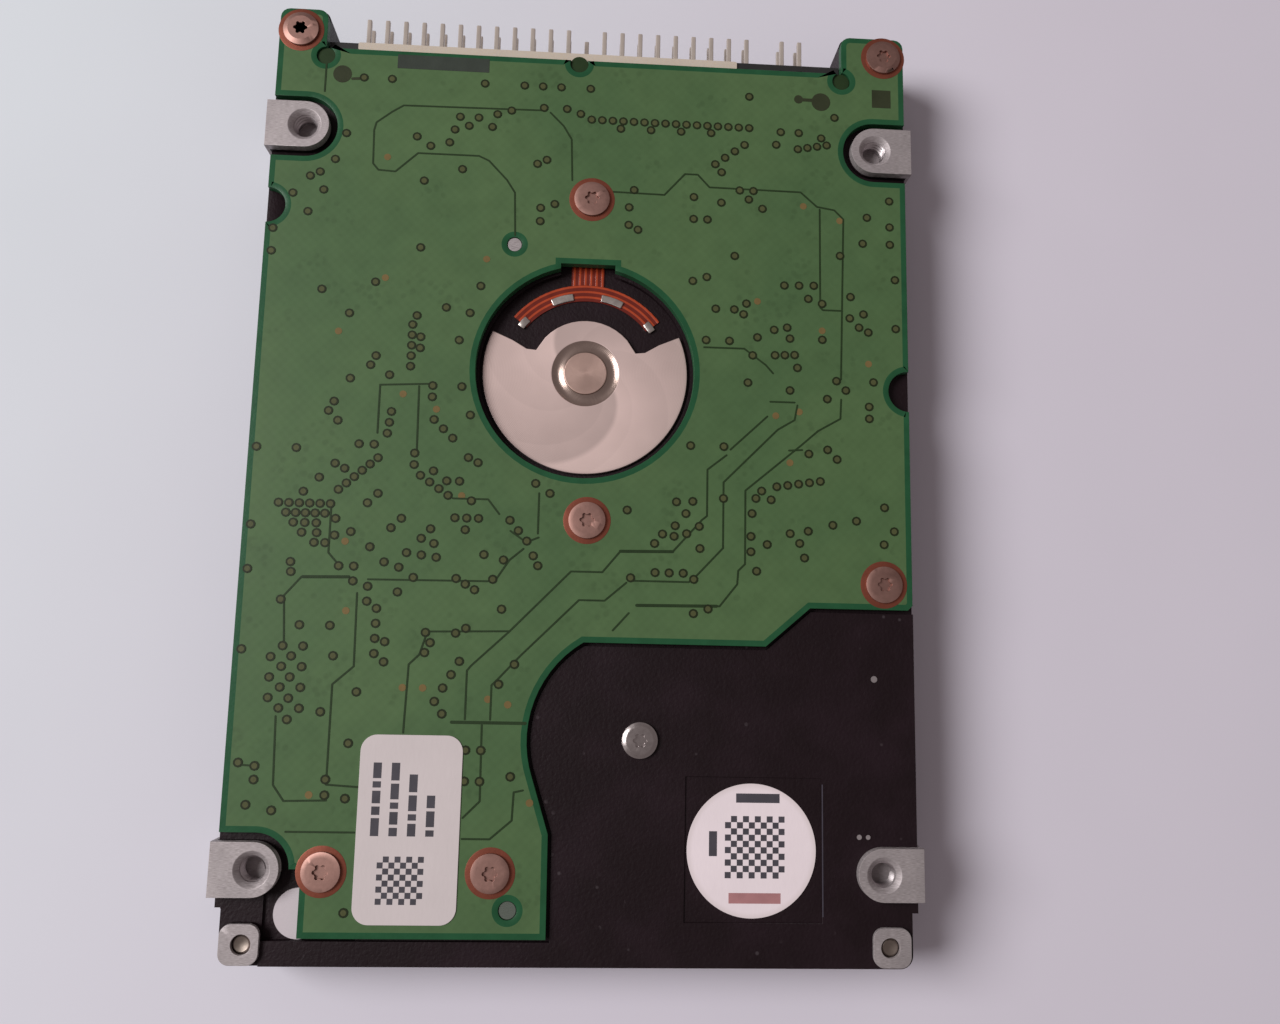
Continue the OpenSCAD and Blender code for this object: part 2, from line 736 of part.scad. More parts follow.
module motor_base() {
    notch_arc_r = 5.8;
    face = z_board - 0.1;
    edge = [[-10.1, 4.4], [-7.8, 3.4], [-6.3, 2.5], [-5.3, 2.4]];
    color([0.75, 0.74, 0.73]) difference() {
        at(spindle) {
            translate([0, 0, z_motor_seat]) cylinder(r = motor_base_r, h = face - z_motor_seat, $fn = 128);
            translate([0, 0, z_stator - 0.2]) {
                cylinder(r = stator_bore_r - slip, h = z_motor_seat - z_stator + 0.3);
            }
        }
        at(spindle, z_stator - 1) cylinder(r = sleeve_seat_r, h = 5);
        at(spindle, z_motor_seat - eps) linear_extrude(2) polygon(concat(
            [[-13, 4.6]], edge, arc([0, 0], notch_arc_r, 139, 41, 12),
            [for (i = [len(edge) - 1:-1:0]) [-edge[i][0], edge[i][1]]], [[13, 4.6], [13, 13], [-13, 13]]
        ));
    }
}

module thrust_cap() {
    color([0.72, 0.7, 0.66]) at(spindle, z_board - sleeve_sunk) cylinder(r = cap_r, h = sleeve_sunk);
}

module bearing_sleeve() {
    z_low = z_upper_platter + 0.8;
    color([0.55, 0.5, 0.42]) at(spindle, z_low) {
        difference() {
            cylinder(r = sleeve_r, h = z_board - sleeve_sunk - z_low);
            translate([0, 0, -eps]) cylinder(r = shaft_r + slip, h = z_motor_seat - z_low);
        }
    }
}

module stator_core() {
    tooth_w = 1;
    color([0.35, 0.36, 0.38]) at(spindle, z_stator) {
        tube(stator_bore_r, stator_bore_r + 1, stator_t);
        for (a = round_ring(stator_slots)) {
            rotate([0, 0, a]) {
                translate([stator_bore_r + 0.8, -tooth_w / 2, 0]) cube([4.2, tooth_w, stator_t]);
                ring_segment(stator_r - 1, stator_r, 0, 15, stator_t);
            }
        }
    }
}

module stator_coils() {
    color([0.72, 0.4, 0.22]) at(spindle, z_stator - clear) {
        for (a = round_ring(stator_slots)) {
            rotate([0, 0, a]) difference() {
                translate([stator_bore_r + 1.2, -1, 0]) cube([3, 2, stator_t + 2 * clear]);
                translate([stator_bore_r, -0.5, clear]) cube([6, 1, stator_t]);
            }
        }
    }
}

// Printed flex of the motor: a stem and an arc under the four solder pads
module motor_flex() {
    color([0.8, 0.35, 0.12]) at(spindle, z_motor_seat) {
        ring_segment(8.1, 9.9, 90, 52, flex_t);
        translate([-1.75, 8.5, 0]) cube([3.5, 17 - 8.5 - 0.9, flex_t]);
    }
}

module solder_pads() {
    color([0.8, 0.78, 0.74]) at(spindle, z_motor_seat + flex_t) {
        for (pad = [[39, 4], [72, 8], [108, 8], [141, 4]]) ring_segment(8.2, 9, pad[0], pad[1], 0.2);
    }
}

module rotor_hub() {
    color([0.78, 0.78, 0.79]) at(spindle) difference() {
        union() {
            translate([0, 0, z_upper_platter]) cylinder(r = hub_r, h = z_flange - z_upper_platter + eps);
            translate([0, 0, z_flange]) cylinder(r = flange_r, h = flange_t);
        }
        translate([0, 0, z_upper_platter + 0.6]) cylinder(r = sleeve_r + 0.4, h = 9);
        translate([0, 0, -1]) cylinder(r = shaft_r + 0.02, h = 9);
    }
}

module rotor_shaft() {
    color([0.7, 0.7, 0.72]) at(spindle, z_upper_platter) difference() {
        cylinder(r = shaft_r, h = z_motor_seat - 0.1 - z_upper_platter);
        translate([0, 0, -eps]) cylinder(r = 0.85, h = 2.2);
    }
}

module rotor_magnet() {
    z_low = z_flange + flange_t;
    color([0.22, 0.22, 0.24]) at(spindle, z_low) tube(magnet_ring_r, flange_r - clear, z_well - 0.4 - z_low);
}

// ---- Disks ----

module platter(z) {
    at(spindle, z) difference() {
        cylinder(r = platter_r, h = platter_t, $fn = 128);
        translate([0, 0, -1]) cylinder(r = platter_bore_r, h = 3);
    }
}

module lower_platter() {
    color([0.8, 0.8, 0.82]) platter(z_lower_platter);
}

module upper_platter() {
    color([0.8, 0.8, 0.82]) platter(z_upper_platter);
}

module platter_spacer() {
    z_low = z_upper_platter + platter_t;
    color([0.75, 0.75, 0.76]) at(spindle, z_low) {
        tube(platter_bore_r, flange_r - clear, z_lower_platter - z_low);
    }
}

clamp_t = 0.4;

module disk_clamp() {
    color([0.76, 0.76, 0.78]) at(spindle, z_upper_platter - clamp_t) difference() {
        cylinder(r = flange_r - clear, h = clamp_t);
        translate([0, 0, -1]) cylinder(r = 0.85, h = 3);
        for (a = round_ring(6)) rotate([0, 0, a]) translate([6.5, 0, -1]) cylinder(r = 0.9, h = 3);
    }
}

module clamp_screw() {
    head_h = 0.35;
    color([0.6, 0.6, 0.62]) at(spindle, z_upper_platter - clamp_t - head_h) mirror([0, 0, 1]) {
        screw(2.4, head_h, 0.8, 2.2);
    }
}

// ---- Actuator ----

// Places its children at the pivot, turned so that +X runs along the parked arms
module at_arm(z = 0) {
    at(pivot, z) rotate([0, 0, park_angle]) children();
}

module arm_plan() {
    arm_end = arm_reach - 8;
    difference() {
        union() {
            circle(block_r);
            polygon([
                [0, -block_r + 1.2], [12, -3.4], [arm_end, -2.1],
                [arm_end, 2.1], [12, 3.4], [0, block_r - 1.2]
            ]);
            translate([arm_end, 0]) circle(2.1);
        }
        circle(pivot_bore_r);
        translate([10.5, 0]) circle(1.9);
        translate([15.8, 0]) circle(1.3);
        translate([arm_end, 0]) circle(0.8);
    }
}

module actuator_block() {
    color([0.72, 0.73, 0.75]) at_arm() {
        for (layer = [[z_cover_arm, outer_arm_t], [z_middle_arm, middle_arm_t], [z_base_arm, outer_arm_t]]) {
            translate([0, 0, layer[0]]) linear_extrude(layer[1]) arm_plan();
        }
        translate([0, 0, z_cover_arm]) tube(pivot_bore_r, block_r, z_base_arm + outer_arm_t - z_cover_arm);
        translate([0, 0, z_coil_mid - coil_t / 2]) {
            ring_segment(block_r - 0.5, coil_r1 - 0.1, 180, fork_outer, coil_t);
            for (side = [-1, 1]) {
                middle = 180 + side * (fork_inner + fork_outer) / 2;
                ring_segment(coil_r1 - 0.5, fork_r, middle, (fork_outer - fork_inner) / 2, coil_t);
            }
        }
    }
}

module voice_coil() {
    wound_half = coil_half - 10;
    color([0.74, 0.42, 0.24]) at_arm(z_coil_mid - coil_t / 2) difference() {
        ring_segment(coil_r1, coil_r2, 180, coil_half, coil_t);
        translate([0, 0, -eps]) {
            ring_segment(coil_r1 + coil_w, coil_r2 - coil_w, 180, wound_half, coil_t + 2 * eps);
        }
    }
}

// Heights of the four suspensions, each with the height of its slider
head_layers = [
    [z_cover_arm + outer_arm_t, z_cover_arm + outer_arm_t + suspension_t],
    [z_middle_arm - suspension_t, z_middle_arm - head_stack],
    [z_middle_arm + middle_arm_t, z_middle_arm + middle_arm_t + suspension_t],
    [z_base_arm - suspension_t, z_base_arm - head_stack]
];

module suspensions() {
    foot = arm_reach - 10.2;
    edge = [[foot, 1.9], [foot + 4.4, 1.9], [arm_reach + 0.9, 0.7], [tab_reach - 1.6, 0.3], [tab_reach, 0.3]];
    color([0.8, 0.79, 0.76]) at_arm() for (layer = head_layers) {
        translate([0, 0, layer[0]]) linear_extrude(suspension_t) difference() {
            polygon(concat(edge, [for (i = [len(edge) - 1:-1:0]) [edge[i][0], -edge[i][1]]]));
            translate([arm_reach - 8, 0]) circle(0.8);
        }
    }
}

module head_sliders() {
    color([0.16, 0.15, 0.15]) at_arm() for (layer = head_layers) {
        translate([arm_reach - 0.6, -0.5, layer[1]]) cube([1.2, 1, slider_t]);
    }
}

// Heights of the two bearings' rings in the pivot
bearing_t = 1.2;
z_sleeve_low = z_cover_arm + 0.75;
z_sleeve_high = z_base_arm + outer_arm_t - 0.2;
bearing_at = [z_sleeve_low + 0.1, z_sleeve_high - 0.1 - bearing_t];

module pivot_sleeve() {
    color([0.6, 0.6, 0.62]) at(pivot, z_sleeve_low) {
        tube(bearing_bore_r, pivot_sleeve_r, z_sleeve_high - z_sleeve_low);
    }
}

module pivot_outer_races() {
    color([0.66, 0.66, 0.68]) for (z = bearing_at) {
        at(pivot, z) tube(race_outer_r, bearing_bore_r - 0.01, bearing_t);
    }
}

module pivot_balls() {
    ball_r = (race_outer_r - race_gap_r) / 2 - slip;
    color([0.82, 0.82, 0.84]) for (z = bearing_at, a = round_ring(10)) {
        at(pivot + (race_outer_r + race_gap_r) / 2 * [cos(a), sin(a)], z + bearing_t / 2) {
            sphere(r = ball_r, $fn = 24);
        }
    }
}

module pivot_inner_races() {
    color([0.66, 0.66, 0.68]) for (z = bearing_at) {
        at(pivot, z) tube(pivot_shaft_r + 0.01, race_gap_r, bearing_t);
    }
}

z_pivot_low = z_rim + cup_depth;

module pivot_shaft() {
    color([0.58, 0.58, 0.6]) at(pivot) difference() {
        union() {
            translate([0, 0, z_pivot_low]) cylinder(r = pivot_shaft_r, h = z_floor - z_pivot_low);
            translate([0, 0, z_sleeve_high + 0.1]) {
                cylinder(r = race_gap_r + 0.4, h = z_floor - z_sleeve_high - 0.1);
            }
        }
        translate([0, 0, z_pivot_low - eps]) cylinder(r = cover_shank_r + slip, h = 2.1);
        translate([0, 0, z_floor - 1.9]) cylinder(r = board_shank_r + slip, h = 3);
    }
}

module pivot_screw() {
    head_h = 0.6;
    color([0.75, 0.73, 0.72]) at(pivot, z_plateau + head_h) {
        screw(board_head_r - 0.1, head_h, board_shank_r, z_plateau - z_floor + 1.6);
    }
}

// ---- Head cable ----

module arm_flex() {
    flex_r = 4.4;
    loop = arc(pivot + [-9.4, -5.3], flex_r, 190, 385, 24);
    back = beside(loop, -flex_t);
    color([0.8, 0.36, 0.12]) translate([0, 0, z_coil_mid - 1.6]) linear_extrude(3.2) {
        polygon(concat(loop, [for (i = [len(back) - 1:-1:0]) back[i]]));
    }
}

module flex_bracket() {
    plate_t = 0.9;
    color([0.7, 0.7, 0.72]) difference() {
        union() {
            at(flex_header_at, z_floor - plate_t) translate([-7, -3.9, 0]) cube([13.5, 7.4, plate_t]);
            at(flex_header_at, z_coil_mid - 1.8) {
                translate([5.6, -0.2, 0]) cube([0.9, 3, z_floor - z_coil_mid + 1.8]);
            }
        }
        at(flex_header_at, z_floor - 3) {
            translate([-flex_hole[0] / 2, -flex_hole[1] / 2, 0]) cube([flex_hole[0], flex_hole[1], 5]);
        }
    }
}

module flex_header() {
    z_low = z_floor - 0.9;
    color([0.88, 0.85, 0.76]) at(flex_header_at, z_low) {
        translate([-flex_hole[0] / 2, -flex_hole[1] / 2, 0]) {
            cube([flex_hole[0], flex_hole[1], z_floor_out + 0.7 - z_low]);
        }
    }
}

// ---- Voice-coil motor ----

module yoke(z, h) {
    difference() {
        union() {
            at(pivot, z) {
                ring_segment(yoke_r1, yoke_r2, sweep_mid, yoke_half, h);
                for (place = yoke_post_at) {
                    half = (place[1] - yoke_half + 2) / 2;
                    middle = sweep_mid + place[1];
                    if (place[0] > yoke_r2) {
                        ring_segment(yoke_r2 - 1, place[0], middle, 4.5, h);
                    } else {
                        ring_segment(place[0] - 1.5, place[0] + 1.5, middle - half, half, h);
                    }
                }
            }
            for (place = yoke_post_at) at_post(place, z) cylinder(r = yoke_lobe_r, h = h);
        }
        for (place = yoke_post_at) at_post(place, z - 1) cylinder(r = yoke_screw_r + slip, h = h + 2);
    }
}

module base_yoke() {
    z_low = z_base_magnet + magnet_t;
    color([0.62, 0.62, 0.64]) yoke(z_low, z_floor - z_low);
}

yoke_head_h = 0.45;

module cover_yoke() {
    color([0.62, 0.62, 0.64]) difference() {
        yoke(z_cover_yoke, yoke_t);
        for (place = yoke_post_at) {
            at_post(place, z_cover_yoke - eps) cylinder(r = 1.3, h = yoke_head_h + eps);
        }
    }
}

module yoke_posts() {
    z_low = z_cover_yoke + yoke_t;
    color([0.7, 0.7, 0.72]) for (place = yoke_post_at) {
        at_post(place, z_low) tube(yoke_screw_r + slip, yoke_post_r, z_base_magnet + magnet_t - z_low);
    }
}

module yoke_screws() {
    color([0.5, 0.5, 0.52]) for (place = yoke_post_at) {
        at_post(place, z_cover_yoke) mirror([0, 0, 1]) {
            screw(1.2, yoke_head_h, yoke_screw_r, z_floor + 1.6 - z_cover_yoke - yoke_head_h);
        }
    }
}

module coil_magnets() {
    color([0.74, 0.74, 0.76]) for (z = [z_cover_magnet, z_base_magnet]) {
        at(pivot, z) ring_segment(coil_r1 + 0.4, coil_r2 - 0.2, sweep_mid, yoke_half - 3, magnet_t);
    }
}

module crash_stops() {
    color([0.14, 0.14, 0.14]) for (side = [-1, 1]) {
        angle = sweep_mid + side * stop_half;
        at(pivot + stop_reach * [cos(angle), sin(angle)], z_coil_mid - coil_t / 2 - 0.3) {
            cylinder(r = stop_r, h = z_floor - z_coil_mid + coil_t / 2 + 0.3);
        }
    }
}

// ---- Parking ----

// Ramp beside the platters: a spine and a finger on each face of each platter
module load_ramp() {
    finger_t = 0.3;
    finger_gap = slip;
    finger_z = [
        z_upper_platter - finger_gap - finger_t, z_upper_platter + platter_t + finger_gap,
        z_lower_platter - finger_gap - finger_t, z_lower_platter + platter_t + finger_gap
    ];
    color([0.9, 0.9, 0.87]) difference() {
        union() {
            at_arm() {
                for (z = finger_z) {
                    translate([0, 0, z]) ring_segment(ramp_r1 + 0.1, ramp_r2 - 0.1, -1.8, 5.9, finger_t);
                }
                translate([0, 0, finger_z[0]]) {
                    ring_segment(ramp_r1, ramp_r2, ramp_turn, 2, z_floor - finger_z[0]);
                }
                translate([0, 0, z_floor - ramp_foot_t]) {
                    ring_segment(ramp_r1 - 3.4, ramp_r1 + 1, ramp_turn + 3.8, 3.2, ramp_foot_t);
                }
            }
        }
        at(ramp_screw_at, z_floor - 4) cylinder(r = tiny_screw_r + slip, h = 5);
    }
}

module ramp_screw() {
    head_h = 0.5;
    color([0.55, 0.55, 0.57]) at(ramp_screw_at, z_floor - ramp_foot_t - head_h) mirror([0, 0, 1]) {
        screw(1.2, head_h, tiny_screw_r, ramp_foot_t + 1.3);
    }
}

module latch() {
    latch_t = 1.2;
    color([0.2, 0.2, 0.22]) at(latch_at, z_coil_mid - latch_t / 2) difference() {
        union() {
            cylinder(r = latch_r, h = latch_t);
            linear_extrude(latch_t) {
                polygon([
                    [-0.9, -0.4], [-0.9, 3.6], [-1.5, 4.3], [-1.5, 4.9], [-0.2, 4.9], [0.3, 3.6], [0.9, -0.4]
                ]);
            }
        }
        translate([0, 0, -1]) cylinder(r = latch_pin_r + slip, h = 4);
    }
}

module latch_pin() {
    z_low = z_coil_mid - 1;
    color([0.65, 0.65, 0.67]) at(latch_at) {
        translate([0, 0, z_low]) cylinder(r = latch_pin_r, h = z_floor - z_low);
        translate([0, 0, z_coil_mid + 0.7]) cylinder(r = latch_pin_r + 0.4, h = z_floor - z_coil_mid - 0.7);
    }
}

// ---- Air ----

module recirculation_filter() {
    color([0.92, 0.92, 0.9]) at(spindle + [26.7, -25.7], z_rim + 0.4) rotate([0, 0, 46]) {
        translate([-3.5, -1, 0]) cube([7, 2, z_floor - z_rim - 0.4]);
    }
}

module desiccant_pack() {
    pack_h = 3.2;
    color([0.9, 0.9, 0.86]) at([8.1 - cavity_x, y_end + 6.1], z_floor - pack_h) {
        translate([-4.2, -2.5, 0]) cube([8.4, 5, pack_h]);
    }
}

// ---- Labels, left bare ----

module round_label() {
    color([0.93, 0.91, 0.93]) at(pivot + [11.4, -10.6], z_plateau - plateau_recess) {
        cylinder(r = 6.5, h = label_t);
    }
}

module board_label() {
    color([0.9, 0.9, 0.88]) translate([0, 0, z_board_top]) linear_extrude(label_t) {
        rounded([13.7 - case_x, y_end + 4.5], [23.7 - case_x, y_end + 22.5], 1.6);
    }
}

base_casting();
top_cover();
cover_gasket();
cover_screws();
cover_label();
circuit_board();
board_screws();
connector_housing();
pin_insulator();
connector_pins();
controller_chip();
memory_chip();
motor_driver_chip();
flash_chip();
crystal();
chip_capacitors();
chip_resistors();
board_contacts();
motor_base();
thrust_cap();
bearing_sleeve();
stator_core();
stator_coils();
motor_flex();
solder_pads();
rotor_hub();
rotor_shaft();
rotor_magnet();
lower_platter();
platter_spacer();
upper_platter();
disk_clamp();
clamp_screw();
actuator_block();
voice_coil();
suspensions();
head_sliders();
pivot_sleeve();
pivot_outer_races();
pivot_balls();
pivot_inner_races();
pivot_shaft();
pivot_screw();
arm_flex();
flex_bracket();
flex_header();
base_yoke();
cover_yoke();
yoke_posts();
yoke_screws();
coil_magnets();
crash_stops();
load_ramp();
ramp_screw();
latch();
latch_pin();
recirculation_filter();
desiccant_pack();
round_label();
board_label();
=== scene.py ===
"""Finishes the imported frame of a 2.5-inch hard disk drive that lies on its cover, circuit board up.

The frame gives every solid in metres: +X to the right, +Y to the connector, +Z to the circuit board.
Sizes here are in millimetres and are turned to metres as each mesh is made. Only the studio's sizes and
the camera's nearest distance are written in metres.
"""
import json
import logging
import math
from dataclasses import dataclass, field
from enum import Enum
from typing import Callable, Optional, Sequence, Union

import bmesh
import bpy
from bmesh.types import BMEdge, BMesh, BMFace, BMVert
from bpy.types import Material, Node, NodeSocket, Object
from mathutils import Matrix, Vector
from mathutils.bvhtree import BVHTree


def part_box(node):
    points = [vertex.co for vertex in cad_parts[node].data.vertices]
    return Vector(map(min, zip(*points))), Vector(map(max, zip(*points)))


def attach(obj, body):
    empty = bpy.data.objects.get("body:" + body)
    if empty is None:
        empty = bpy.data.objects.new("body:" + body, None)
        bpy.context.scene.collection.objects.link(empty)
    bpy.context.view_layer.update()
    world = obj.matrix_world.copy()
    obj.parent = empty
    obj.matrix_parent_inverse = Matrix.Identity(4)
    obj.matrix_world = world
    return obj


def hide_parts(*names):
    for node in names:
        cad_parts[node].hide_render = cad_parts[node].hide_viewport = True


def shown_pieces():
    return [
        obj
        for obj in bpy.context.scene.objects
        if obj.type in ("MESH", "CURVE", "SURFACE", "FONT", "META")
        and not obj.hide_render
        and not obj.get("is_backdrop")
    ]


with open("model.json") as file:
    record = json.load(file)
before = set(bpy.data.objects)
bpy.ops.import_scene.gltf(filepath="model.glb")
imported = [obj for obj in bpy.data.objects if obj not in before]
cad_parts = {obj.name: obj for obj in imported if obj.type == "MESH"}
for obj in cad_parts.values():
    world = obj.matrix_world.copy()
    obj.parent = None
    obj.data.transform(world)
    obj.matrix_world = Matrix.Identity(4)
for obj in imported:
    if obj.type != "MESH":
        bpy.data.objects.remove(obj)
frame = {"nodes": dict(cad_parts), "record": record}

log = logging.getLogger("disk_drive")

MM = 0.001
# Corners of a mesh this near to each other are one, in millimetres
SAME_CORNER = 0.0006
Colour = tuple[float, float, float]
Spot = tuple[float, float]

# Size of the photograph's frame in pixels
WIDE = 1280
TALL = 1024
# Where the named features show in that frame, seen by the view below
IMAGE_POINTS: dict[str, Spot] = {
    "left": (205.7, 870.0),
    "right": (925.4, 885.0),
    "top": (310.0, 8.2),
    "bottom": (700.0, 969.3),
    "hole_top_left": (304.3, 123.5),
    "hole_top_right": (874.8, 150.7),
    "hole_bottom_left": (251.0, 870.0),
    "hole_bottom_right": (884.8, 875.8),
    "motor_cap": (585.3, 373.1),
    "pivot_screw": (640.0, 740.7),
    "round_label": (751.5, 850.5),
    "board_label": (407.9, 829.1),
    "neck_screw": (592.1, 197.6),
    "upper_pin": (514.8, 244.5),
    "pour_corner": (834.1, 211.2),
    "dark_bar": (443.8, 63.6),
    "square_pad": (881.1, 99.3),
    "keyhole": (810.1, 100.8),
    "tall_block": (399.3, 880.7),
    "round_block": (754.7, 847.2),
}


def in_metres(place: Sequence[float]) -> Vector:
    """Turns a place in millimetres into a vector in metres."""
    return Vector(place) * MM


def node_box(node: str) -> tuple[Vector, Vector]:
    """Gives a frame node's lowest and highest corners in millimetres.

    Args:
        node: The frame node's name.

    Returns:
        The lowest and the highest corner.
    """
    low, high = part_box(node)
    return low / MM, high / MM


def node_middle(node: str) -> Vector:
    """Gives the middle of a frame node's box in millimetres."""
    low, high = node_box(node)
    return (low + high) / 2


def tapped_holes() -> dict[str, Vector]:
    """Gives the mouths of the four tapped holes by name, in millimetres, from the record's bolt pattern."""
    pattern = next(mount for mount in frame["record"]["mounts"] if mount["name"] == "bottom_holes")
    middle = Vector(pattern["pos_m"]) / MM
    across = pattern["dims"]["spacing_x_mm"] / 2
    along = pattern["dims"]["spacing_y_mm"] / 2
    return {
        f"hole_{row}_{side}": middle + Vector((x, y, 0))
        for row, y in (("top", along), ("bottom", -along))
        for side, x in (("left", -across), ("right", across))
    }


class Value:
    """A number that varies over a surface; arithmetic on it adds Math nodes."""

    def __init__(self, shader: "Shader", socket: NodeSocket) -> None:
        """Wraps a socket of a shader."""
        self.shader = shader
        self.socket = socket

    def __add__(self, other: "Number") -> "Value":
        """Adds."""
        return self.shader.math("ADD", self, other)

    def __sub__(self, other: "Number") -> "Value":
        """Takes the other number away."""
        return self.shader.math("SUBTRACT", self, other)

    def __rsub__(self, other: "Number") -> "Value":
        """Takes this value away from a number."""
        return self.shader.math("SUBTRACT", other, self)

    def __mul__(self, other: "Number") -> "Value":
        """Multiplies."""
        return self.shader.math("MULTIPLY", self, other)

    def __gt__(self, other: "Number") -> "Value":
        """Is 1 where this value is the larger."""
        return self.shader.math("GREATER_THAN", self, other)

    def __or__(self, other: "Number") -> "Value":
        """Gives the larger of two values, which joins two masks."""
        return self.shader.math("MAXIMUM", self, other)

    def __and__(self, other: "Number") -> "Value":
        """Gives the smaller of two values, which crosses two masks."""
        return self.shader.math("MINIMUM", self, other)

    def __abs__(self) -> "Value":
        """Gives the size without the sign."""
        return self.shader.math("ABSOLUTE", self)

    def sine(self) -> "Value":
        """Gives the sine of an angle in radians."""
        return self.shader.math("SINE", self)

    def fract(self) -> "Value":
        """Gives what is left after the whole number."""
        return self.shader.math("FRACT", self)

    def step(self, low: float, high: float) -> "Value":
        """Rises smoothly from 0 at the low value to 1 at the high one; falls where low is above high.

        Args:
            low: Value at which the result is 0.
            high: Value at which the result is 1.

        Returns:
            The smooth step.
        """
        node = self.shader.make(
            "ShaderNodeMapRange",
            {"interpolation_type": "SMOOTHSTEP", "clamp": True},
            {"Value": self, "From Min": low, "From Max": high},
        )
        return Value(self.shader, node.outputs["Result"])

    __radd__ = __add__
    __rmul__ = __mul__


Number = Union[Value, float]


class Shader:
    """Builds one material: its coordinates, patterns, mixes and surface."""

    def __init__(self, name: str) -> None:
        """Starts an empty material and reads the piece's own coordinates in millimetres."""
        self.material = bpy.data.materials.new(name)
        self.material.use_nodes = True
        self.tree = self.material.node_tree
        self.tree.nodes.clear()
        coordinates = self.make("ShaderNodeTexCoord")
        scaled = self.make(
            "ShaderNodeVectorMath",
            {"operation": "SCALE"},
            {"Vector": coordinates.outputs["Object"], "Scale": 1 / MM},
        )
        self.place = scaled.outputs["Vector"]
        parts = self.make("ShaderNodeSeparateXYZ", inputs={"Vector": self.place})
        self.x, self.y, self.z = (Value(self, parts.outputs[axis]) for axis in "XYZ")

    def make(self, kind: str, settings: Optional[dict] = None,
             inputs: Optional[dict] = None) -> Node:
        """Adds a node, with its settings first and then the values or links of its sockets.

        Args:
            kind: The node's type.
            settings: Names and values of the node's own settings.
            inputs: Socket names or numbers, each with a value, a Value or a socket.

        Returns:
            The new node.
        """
        node = self.tree.nodes.new(kind)
        for name, value in (settings or {}).items():
            setattr(node, name, value)
        for name, value in (inputs or {}).items():
            self.feed(node.inputs[name], value)
        return node

    def feed(self, socket: NodeSocket, value: object) -> None:
        """Links or sets one socket.

        Args:
            socket: The socket that takes the value.
            value: A Value, a socket, a number or a tuple.
        """
        if isinstance(value, Value):
            value = value.socket
        if isinstance(value, NodeSocket):
            self.tree.links.new(value, socket)
        elif socket.type == "RGBA" and len(value) == 3:
            socket.default_value = (*value, 1.0)
        else:
            socket.default_value = value

    def math(self, operation: str, *numbers: Number) -> Value:
        """Adds a Math node.

        Args:
            operation: The node's operation.
            numbers: What it works on.

        Returns:
            The result.
        """
        node = self.make("ShaderNodeMath", {"operation": operation}, dict(enumerate(numbers)))
        return Value(self, node.outputs[0])

    def turned(self, angle: float, scale: Sequence[float]) -> NodeSocket:
        """Gives the piece's coordinates turned about Z and scaled.

        Args:
            angle: Turn in degrees.
            scale: How much denser the pattern gets along each axis.

        Returns:
            The coordinate socket.
        """
        node = self.make(
            "ShaderNodeMapping",
            {"vector_type": "POINT"},
            {"Vector": self.place, "Rotation": (0, 0, math.radians(angle)), "Scale": tuple(scale)},
        )
        return node.outputs["Vector"]

    def noise(self, size: float, detail: float = 2, rough: float = 0.5,
              place: Optional[NodeSocket] = None) -> Value:
        """Gives soft noise between 0 and 1 with a mean of about a half.

        Args:
            size: Size of its blots in millimetres.
            detail: Layers of finer noise.
            rough: Strength of the finer layers.
            place: Other coordinates than the piece's own.

        Returns:
            The noise.
        """
        node = self.make(
            "ShaderNodeTexNoise",
            {"noise_dimensions": "3D"},
            {"Vector": place or self.place, "Scale": 1 / size, "Detail": detail, "Roughness": rough},
        )
        return Value(self, node.outputs["Fac"])

    def cells(self, size: float) -> Value:
        """Gives the distance to the nearest point of an uneven grid.

        Args:
            size: Size of a cell in millimetres.

        Returns:
            The distance, 1 being about a cell.
        """
        node = self.make(
            "ShaderNodeTexVoronoi", {"feature": "F1"}, {"Vector": self.place, "Scale": 1 / size}
        )
        return Value(self, node.outputs["Distance"])

    def radius(self, centre: Spot) -> Value:
        """Gives the distance in plan from a centre in millimetres."""
        across = self.x - centre[0]
        along = self.y - centre[1]
        return self.math("SQRT", across * across + along * along)

    def angle(self, centre: Spot) -> Value:
        """Gives the direction in plan from a centre, in radians."""
        return self.math("ARCTAN2", self.y - centre[1], self.x - centre[0])

    def inside(self, value: Value, low: float, high: float, soft: float) -> Value:
        """Gives a mask of where a value lies between two limits.

        Args:
            value: What is looked at.
            low: Lower limit.
            high: Upper limit.
            soft: Width of the mask's edges.

        Returns:
            1 inside the limits, 0 outside.
        """
        return value.step(low - soft, low + soft) & value.step(high + soft, high - soft)

    def facing_up(self) -> Value:
        """Gives how far the surface faces up, from -1 to 1."""
        geometry = self.make("ShaderNodeNewGeometry")
        parts = self.make("ShaderNodeSeparateXYZ", inputs={"Vector": geometry.outputs["True Normal"]})
        return Value(self, parts.outputs["Z"])

    def blend(self, mask: Number, under: object, over: object) -> NodeSocket:
        """Mixes two colours.

        Args:
            mask: 0 for the first, 1 for the second.
            under: The first colour.
            over: The second colour.

        Returns:
            The mixed colour's socket.
        """
        node = self.make(
            "ShaderNodeMix", {"data_type": "RGBA", "clamp_factor": True}, {0: mask, 6: under, 7: over}
        )
        return node.outputs[2]

    def tinted(self, colour: object, strength: Value) -> NodeSocket:
        """Makes a colour lighter or darker by a factor.

        Args:
            colour: The colour.
            strength: What it is multiplied by.

        Returns:
            The new colour's socket.
        """
        node = self.make("ShaderNodeVectorMath", {"operation": "SCALE"}, {"Scale": strength})
        self.feed(node.inputs[0], colour)
        return node.outputs["Vector"]

